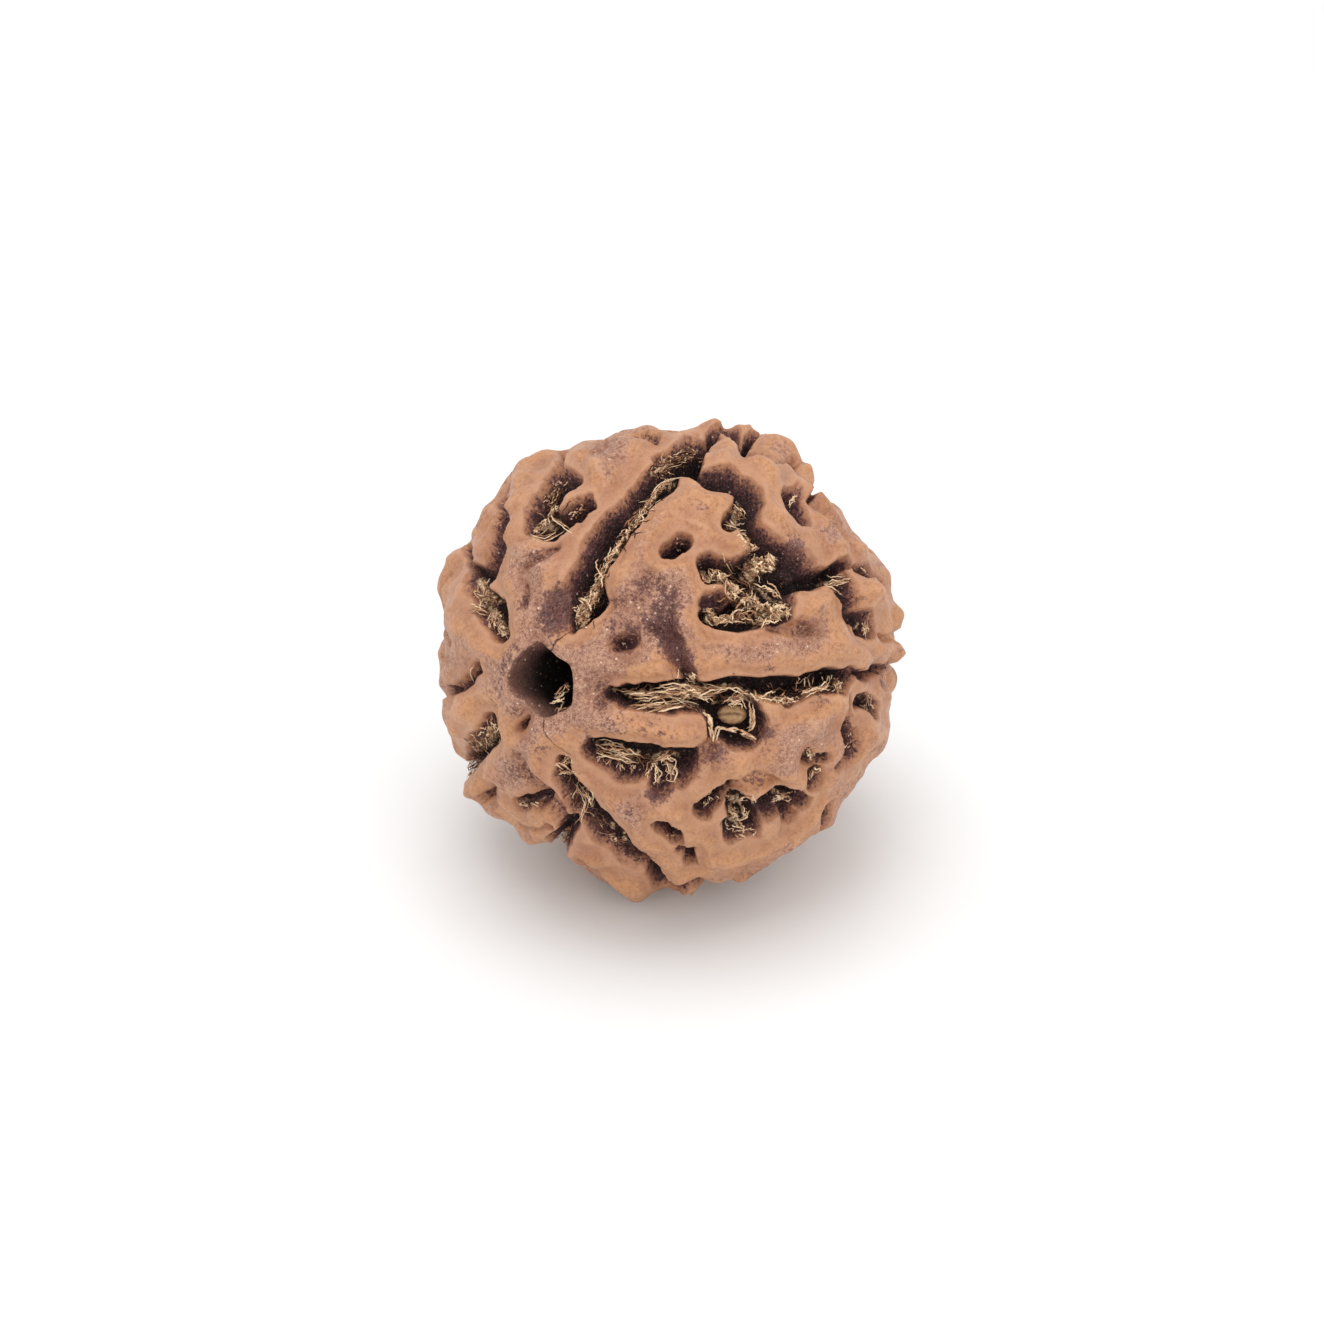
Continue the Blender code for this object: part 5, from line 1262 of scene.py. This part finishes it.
def bean():
    """The oval dry body in the bay below the middle cleft, with a crease along it."""
    mesh = ball_mesh("bean", BEAN_SUBDIVISIONS)
    ball = units(vertex_array(mesh))
    across, up, out = ball.T
    crease = np.exp(-((up - CREASE_SWAY * np.cos(3 * across)) / CREASE_WIDTH) ** 2)
    crease = BEAN_CREASE * crease * np.clip(1.1 - across**2, 0, 1)
    ridges = RIDGE_HEIGHT * np.cos(14 * up + 2 * across) * np.clip(out, 0, 1)
    rough = BEAN_ROUGHNESS * grain(ball * 3, 1.0, GRAIN_OCTAVES)
    ball *= (1 - crease * np.clip(out * 2, 0, 1) + ridges + rough)[:, None]
    place = on_body(BEAN_PLACE)[0] - TOWARD * BEAN_SINK
    axes = np.array([RIGHT, UP, TOWARD])
    mesh.vertices.foreach_set("co", ((place + ball * BEAN_HALVES @ axes + CENTRE) * MM).ravel())
    # Painted shade: the tone darkens in the crease and towards the outline as the camera sees it
    edge = np.clip(across**2 + up**2 - 0.5, 0, 1)
    set_values(mesh, "tone", np.clip(BEAN_TONE - CREASE_PAINTED_SHADE * crease - EDGE_PAINTED_SHADE * edge, 0, 1))
    mesh.shade_smooth()
    return placed("bean", mesh)


class Value:
    """A number that a material's nodes work out. It adds and multiplies as numbers do."""

    def __init__(self, nodes, socket):
        self.nodes = nodes
        self.socket = socket

    def __add__(self, other):
        return self.nodes.math("ADD", self, other)

    def __mul__(self, other):
        return self.nodes.math("MULTIPLY", self, other)

    def __abs__(self):
        return self.nodes.math("ABSOLUTE", self)

    def between(self, low, high, to_low=0, to_high=1):
        """The value carried smoothly from the span low to high onto to_low to to_high."""
        spans = {"Value": self, "From Min": low, "From Max": high, "To Min": to_low, "To Max": to_high}
        made = self.nodes.add("MapRange", spans, interpolation_type="SMOOTHSTEP")
        return Value(self.nodes, made.outputs["Result"])


class Nodes:
    """A short way to write a material's node tree."""

    def __init__(self, name):
        self.material = bpy.data.materials.new(name)
        self.material.use_nodes = True
        self.tree = self.material.node_tree
        self.shader = self.tree.nodes["Principled BSDF"]

    def add(self, kind, inputs=None, **settings):
        made = self.tree.nodes.new(f"ShaderNode{kind}")
        for name, value in settings.items():
            setattr(made, name, value)
        for name, value in (inputs or {}).items():
            self.put(made.inputs[name], value)
        return made

    def put(self, socket, value):
        """Gives a socket its value: another socket, a worked out value, a colour or a number."""
        if isinstance(value, Value):
            value = value.socket
        if isinstance(value, bpy.types.NodeSocket):
            self.tree.links.new(value, socket)
        elif isinstance(value, tuple):
            socket.default_value = (*value, 1)
        else:
            socket.default_value = value

    def value(self, name):
        """What is kept at each vertex under this name."""
        return Value(self, self.add("Attribute", attribute_name=name).outputs["Fac"])

    def math(self, operation, *values):
        made = self.add("Math", operation=operation)
        for socket, value in zip(made.inputs, values):
            self.put(socket, value)
        return Value(self, made.outputs[0])

    def larger(self, a, b):
        return self.math("MAXIMUM", a, b)

    def texture(self, kind, size, inputs, **settings):
        """A texture's outputs, with features about size millimetres across."""
        place = self.add("TexCoord").outputs["Object"]
        return self.add(kind, {"Vector": place, "Scale": 1 / (size * MM), **inputs}, **settings).outputs

    def noise(self, size, detail=3, roughness=0.5, shift=0):
        """Noise from about -1 to 1."""
        inputs = {"Detail": detail, "Roughness": roughness, "W": shift}
        found = self.texture("TexNoise", size, inputs, noise_dimensions="4D")
        return self.math("MULTIPLY_ADD", found["Fac"], 6, -3)

    def cells(self, size, share):
        """Round dots, one in each of that share of cells."""
        found = self.texture("TexVoronoi", size, {})
        chance = Value(self, self.add("SeparateColor", {"Color": found["Color"]}).outputs[0])
        dot = Value(self, found["Distance"]).between(0.1, 0.22, 1, 0)
        return dot * chance.between(1 - share, 1.01 - share)

    def ramp(self, value, stops):
        made = self.add("ValToRGB", {"Fac": value})
        points = made.color_ramp.elements
        while len(points) < len(stops):
            points.new(0.5)
        for point, (place, colour) in zip(points, stops):
            point.position = place
            point.color = (*colour, 1)
        return made.outputs["Color"]

    def layered(self, colour, layers):
        """The colour with others laid over it one by one, each by its share."""
        for share, over in layers:
            made = self.add("Mix", data_type="RGBA")
            for index, value in ((0, share), (6, colour), (7, over)):
                self.put(made.inputs[index], value)
            colour = made.outputs[2]
        return colour

    def finished(self, inputs, relief, reach, strength=1):
        """The material with these shader inputs, and the relief as bumps of about reach millimetres."""
        bump = self.add("Bump", {"Height": relief, "Distance": reach * MM, "Strength": strength})
        for name, value in {**inputs, "Normal": bump.outputs["Normal"]}.items():
            self.put(self.shader.inputs[name], value)
        return self.material


class SeedNodes(Nodes):
    """The seed's material, one layer to a function."""

    def __init__(self):
        super().__init__("seed_brown")
        self.depth, self.clear, self.high = map(self.value, ("depth", "clear", "high"))
        self.mat, self.stain, self.dust, self.sunk = map(self.value, ("mat", "stain", "dust", "sunk"))
        self.mottle, self.speckle, self.fine = self.noise(*MOTTLE), self.noise(*SPECKLE), self.noise(*GRIT)
        dusty = self.dust + self.clear.between(0.25, 1.2, -0.35, 0.45) + self.noise(*BLOTCHES) * 0.3
        self.dusty = dusty.between(0, 1)
        ragged = self.mottle * 0.14 + self.speckle * 0.3
        self.level = self.depth + ragged * self.depth.between(0, 0.3)
        self.net = abs(self.noise(*TANGLE_NET)) * -0.9 + 0.95
        self.matted = self.mat + (self.mottle + self.speckle) * 0.12

    def skin(self):
        """Polished orange near the rims and where it is worn, dusty pink and speckled elsewhere. Painted
        shade darkens its hollows, and painted light brightens its heights and the edges just outside the
        rims."""
        even = self.dusty.between(0, 0.7, 0.45, 1)
        grit = self.fine * 0.7 + self.speckle * 0.7
        # Painted highlight on the edge just outside each rim, where the groove is shallow
        rim_highlight = self.clear.between(0.05, 0.45, 0.28, 0) * self.depth.between(0, 0.1, 1, 0)
        return self.layered(RIM_ORANGE, (
            (self.dusty, FLAT_PINK),
            (self.noise(*BROAD_PATCHES).between(-0.3, 0.4, 0, 0.3), SKIN_BROWN),
            (self.mottle.between(-0.1, 0.7, 0, 0.4) * even, SPECK_BROWN),
            (self.mottle.between(-0.7, -0.1, 0.4, 0) * even, SKIN_PALE),
            (grit.between(0, 0.5, 0, 0.75) * even, SPECK_BROWN),
            (grit.between(-0.5, 0, 0.65, 0) * even, SKIN_PALE),
            (self.speckle.between(-0.1, 1.1) * self.dusty.between(0, 1, 0.3, 0.8), SPECK_BROWN),
            (self.fine.between(0, 1) * self.dusty.between(0, 1, 0.3, 0.7), SPECK_PALE),
            # Painted shade in the hollows, painted light on the heights, then the painted rim highlight
            (self.high.between(-0.35, 0, 0.45, 0), HOLLOW_PAINTED_SHADE),
            (self.high.between(0.05, 0.35, 0, 0.3), HEIGHT_PAINTED_LIGHT),
            (rim_highlight, RIM_PAINTED_HIGHLIGHT)))

    def stained(self, skin):
        """Purple speckles that thicken to patches."""
        speckled = self.stain + (self.speckle + self.mottle * 0.9) * 0.45
        share = speckled.between(0.25, 0.85, 0, 0.92) * self.stain.between(0.05, 0.3)
        return self.layered(skin, (
            (share, DUSTY_PURPLE),
            (self.fine.between(0, 0.6, 0, 0.5) * share, STAIN_DUST),
            (self.speckle.between(-0.5, 0.1, 0.85, 0) * share, DARK_PURPLE)))

    def walls(self):
        """Colours of the grooves: darker with depth, and speckled."""
        return self.layered(self.ramp(self.level * (1 / DEEPEST), GROOVE_SHADES), (
            (self.fine.between(-0.1, 1, 0, 0.75) * self.level.between(0.6, 1.6, 1, 0.4), SPECK_RED),
            (self.speckle.between(0.2, 1) * 0.6, NEAR_BLACK)))

    def tangle(self):
        """Matted fibre: cream ridges with brown and dark between them."""
        hair = abs(self.noise(*TANGLE_HAIR)) * -0.55 + 0.4
        return self.ramp(self.net + hair, MAT_SHADES)

    def glints(self):
        """Pale dots, mostly on dusty and dark places."""
        place = self.larger(self.dusty.between(0.3, 1, 0.02, 0.8), self.level.between(0.1, 0.5, 0, 0.6))
        return self.larger(self.cells(0.36, 0.3), self.cells(0.22, 0.3) * 0.6) * place

    def relief(self):
        """What the bumps follow: grit, rough walls and the tangle's ridges."""
        grit = (self.fine + self.speckle) * self.dusty.between(0, 1, 0.08, 0.4)
        rough = self.noise(*WALL_ROUGHNESS) * self.depth.between(0.1, 0.7, 0, 0.8)
        return grit + rough + self.net * self.matted.between(0.3, 0.7, 0, 2)


def seed_material():
    n = SeedNodes()
    inside = n.sunk + n.speckle * 0.12 * n.sunk.between(0, 0.1)
    colour = n.layered(n.stained(n.skin()), (
        (n.level.between(0.04, 0.6), n.walls()),
        (n.matted.between(0.35, 0.85), n.tangle()),
        # Painted shade inside the hole and the cracks, darkening with depth
        (inside.between(0, 0.06), n.ramp(inside, HOLE_PAINTED_SHADE)),
        (n.glints(), GLINT)))
    rough = n.larger(n.dusty.between(0, 1, 0.42, 0.6), n.depth.between(0, 0.6, 0.4, 0.85))
    inputs = {"Base Color": colour, "Roughness": rough, "Specular IOR Level": SEED_SPECULAR}
    return n.finished(inputs, n.relief(), SEED_BUMP)


def fibre_material():
    n = Nodes("dry_fibre")
    colour = n.ramp(n.value("tone") + n.noise(*FIBRE_PATCHES) * 0.22, FIBRE_SHADES)
    inputs = {"Base Color": colour, "Roughness": FIBRE_ROUGHNESS, "Specular IOR Level": FIBRE_SPECULAR}
    return n.finished(inputs, n.noise(*FIBRE_GRAIN), FIBRE_BUMP)


def bean_material():
    n = Nodes("dry_bean")
    colour = n.ramp(n.value("tone") + n.noise(*BEAN_PATCHES) * 0.08, BEAN_SHADES)
    inputs = {"Base Color": colour, "Roughness": BEAN_SHEEN}
    return n.finished(inputs, n.noise(*BEAN_GRAIN), BEAN_BUMP, BEAN_BUMP_SHARE)


def floor_material():
    n = Nodes("floor")
    n.put(n.shader.inputs["Base Color"], FLOOR_COLOUR)
    n.put(n.shader.inputs["Roughness"], FLOOR_ROUGHNESS)
    return n.material


def seed_tree(seed):
    """The seed's surface ready for rays, in millimetres from the body's centre."""
    mesh = seed.data
    points = vertex_array(mesh) / MM - CENTRE
    return BVHTree.FromPolygons([tuple(p) for p in points], [tuple(f.vertices) for f in mesh.polygons])


def dress(piece, material):
    piece.data.materials.clear()
    piece.data.materials.append(material)
    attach(piece, "root")


def floor():
    """The pale surface that the seed lies on."""
    bpy.ops.mesh.primitive_plane_add(size=FLOOR_SIZE)
    made = bpy.context.object
    made.name = "floor"
    made.data.materials.append(floor_material())


def camera():
    """The camera at the drawing's eye point."""
    made = placed("camera", bpy.data.cameras.new("camera"))
    made.data.lens = LENS
    made.data.shift_x, made.data.shift_y = [pixels / PHOTO_PIXELS for pixels in AXIS_SHIFT]
    made.data.clip_start = NEAREST
    made.location = (CENTRE + TOWARD * EYE_DISTANCE) * MM
    made.rotation_euler = (math.pi / 2 - RISE, 0, 0)
    bpy.context.scene.camera = made


def sky():
    """Soft light from all round, stronger low down than overhead."""
    world = bpy.data.worlds.new("studio")
    bpy.context.scene.world = world
    world.use_nodes = True
    nodes, links = world.node_tree.nodes, world.node_tree.links
    background = nodes["Background"].inputs
    background["Color"].default_value = (*SKY_COLOUR, 1)
    height = nodes.new("ShaderNodeSeparateXYZ")
    fade = nodes.new("ShaderNodeMapRange")
    fade.inputs["To Min"].default_value = HORIZON
    fade.inputs["To Max"].default_value = ZENITH
    links.new(nodes.new("ShaderNodeTexCoord").outputs["Generated"], height.inputs[0])
    links.new(height.outputs["Z"], fade.inputs["Value"])
    links.new(fade.outputs["Result"], background["Strength"])


def lamps():
    for name, (power, place) in LAMPS.items():
        lamp = placed(name, bpy.data.lights.new(name, "AREA"))
        lamp.data.energy = power
        lamp.data.size = LAMP_SIZE
        lamp.location = place
        lamp.rotation_euler = (-Vector(place)).to_track_quat("-Z", "Y").to_euler()


def main():
    camera()
    floor()
    sky()
    lamps()
    bpy.context.scene.view_settings.view_transform = "Standard"
    seed = seed_body()
    dress(seed, seed_material())
    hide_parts("rudraksha_seed")
    tree = seed_tree(seed)
    fibre = fibre_material()
    dress(fibres("fibres_seen", seen_rows(), tree, True), fibre)
    dress(fibres("fibres_unseen", unseen_rows(), tree, False), fibre)
    dress(bean(), bean_material())


main()
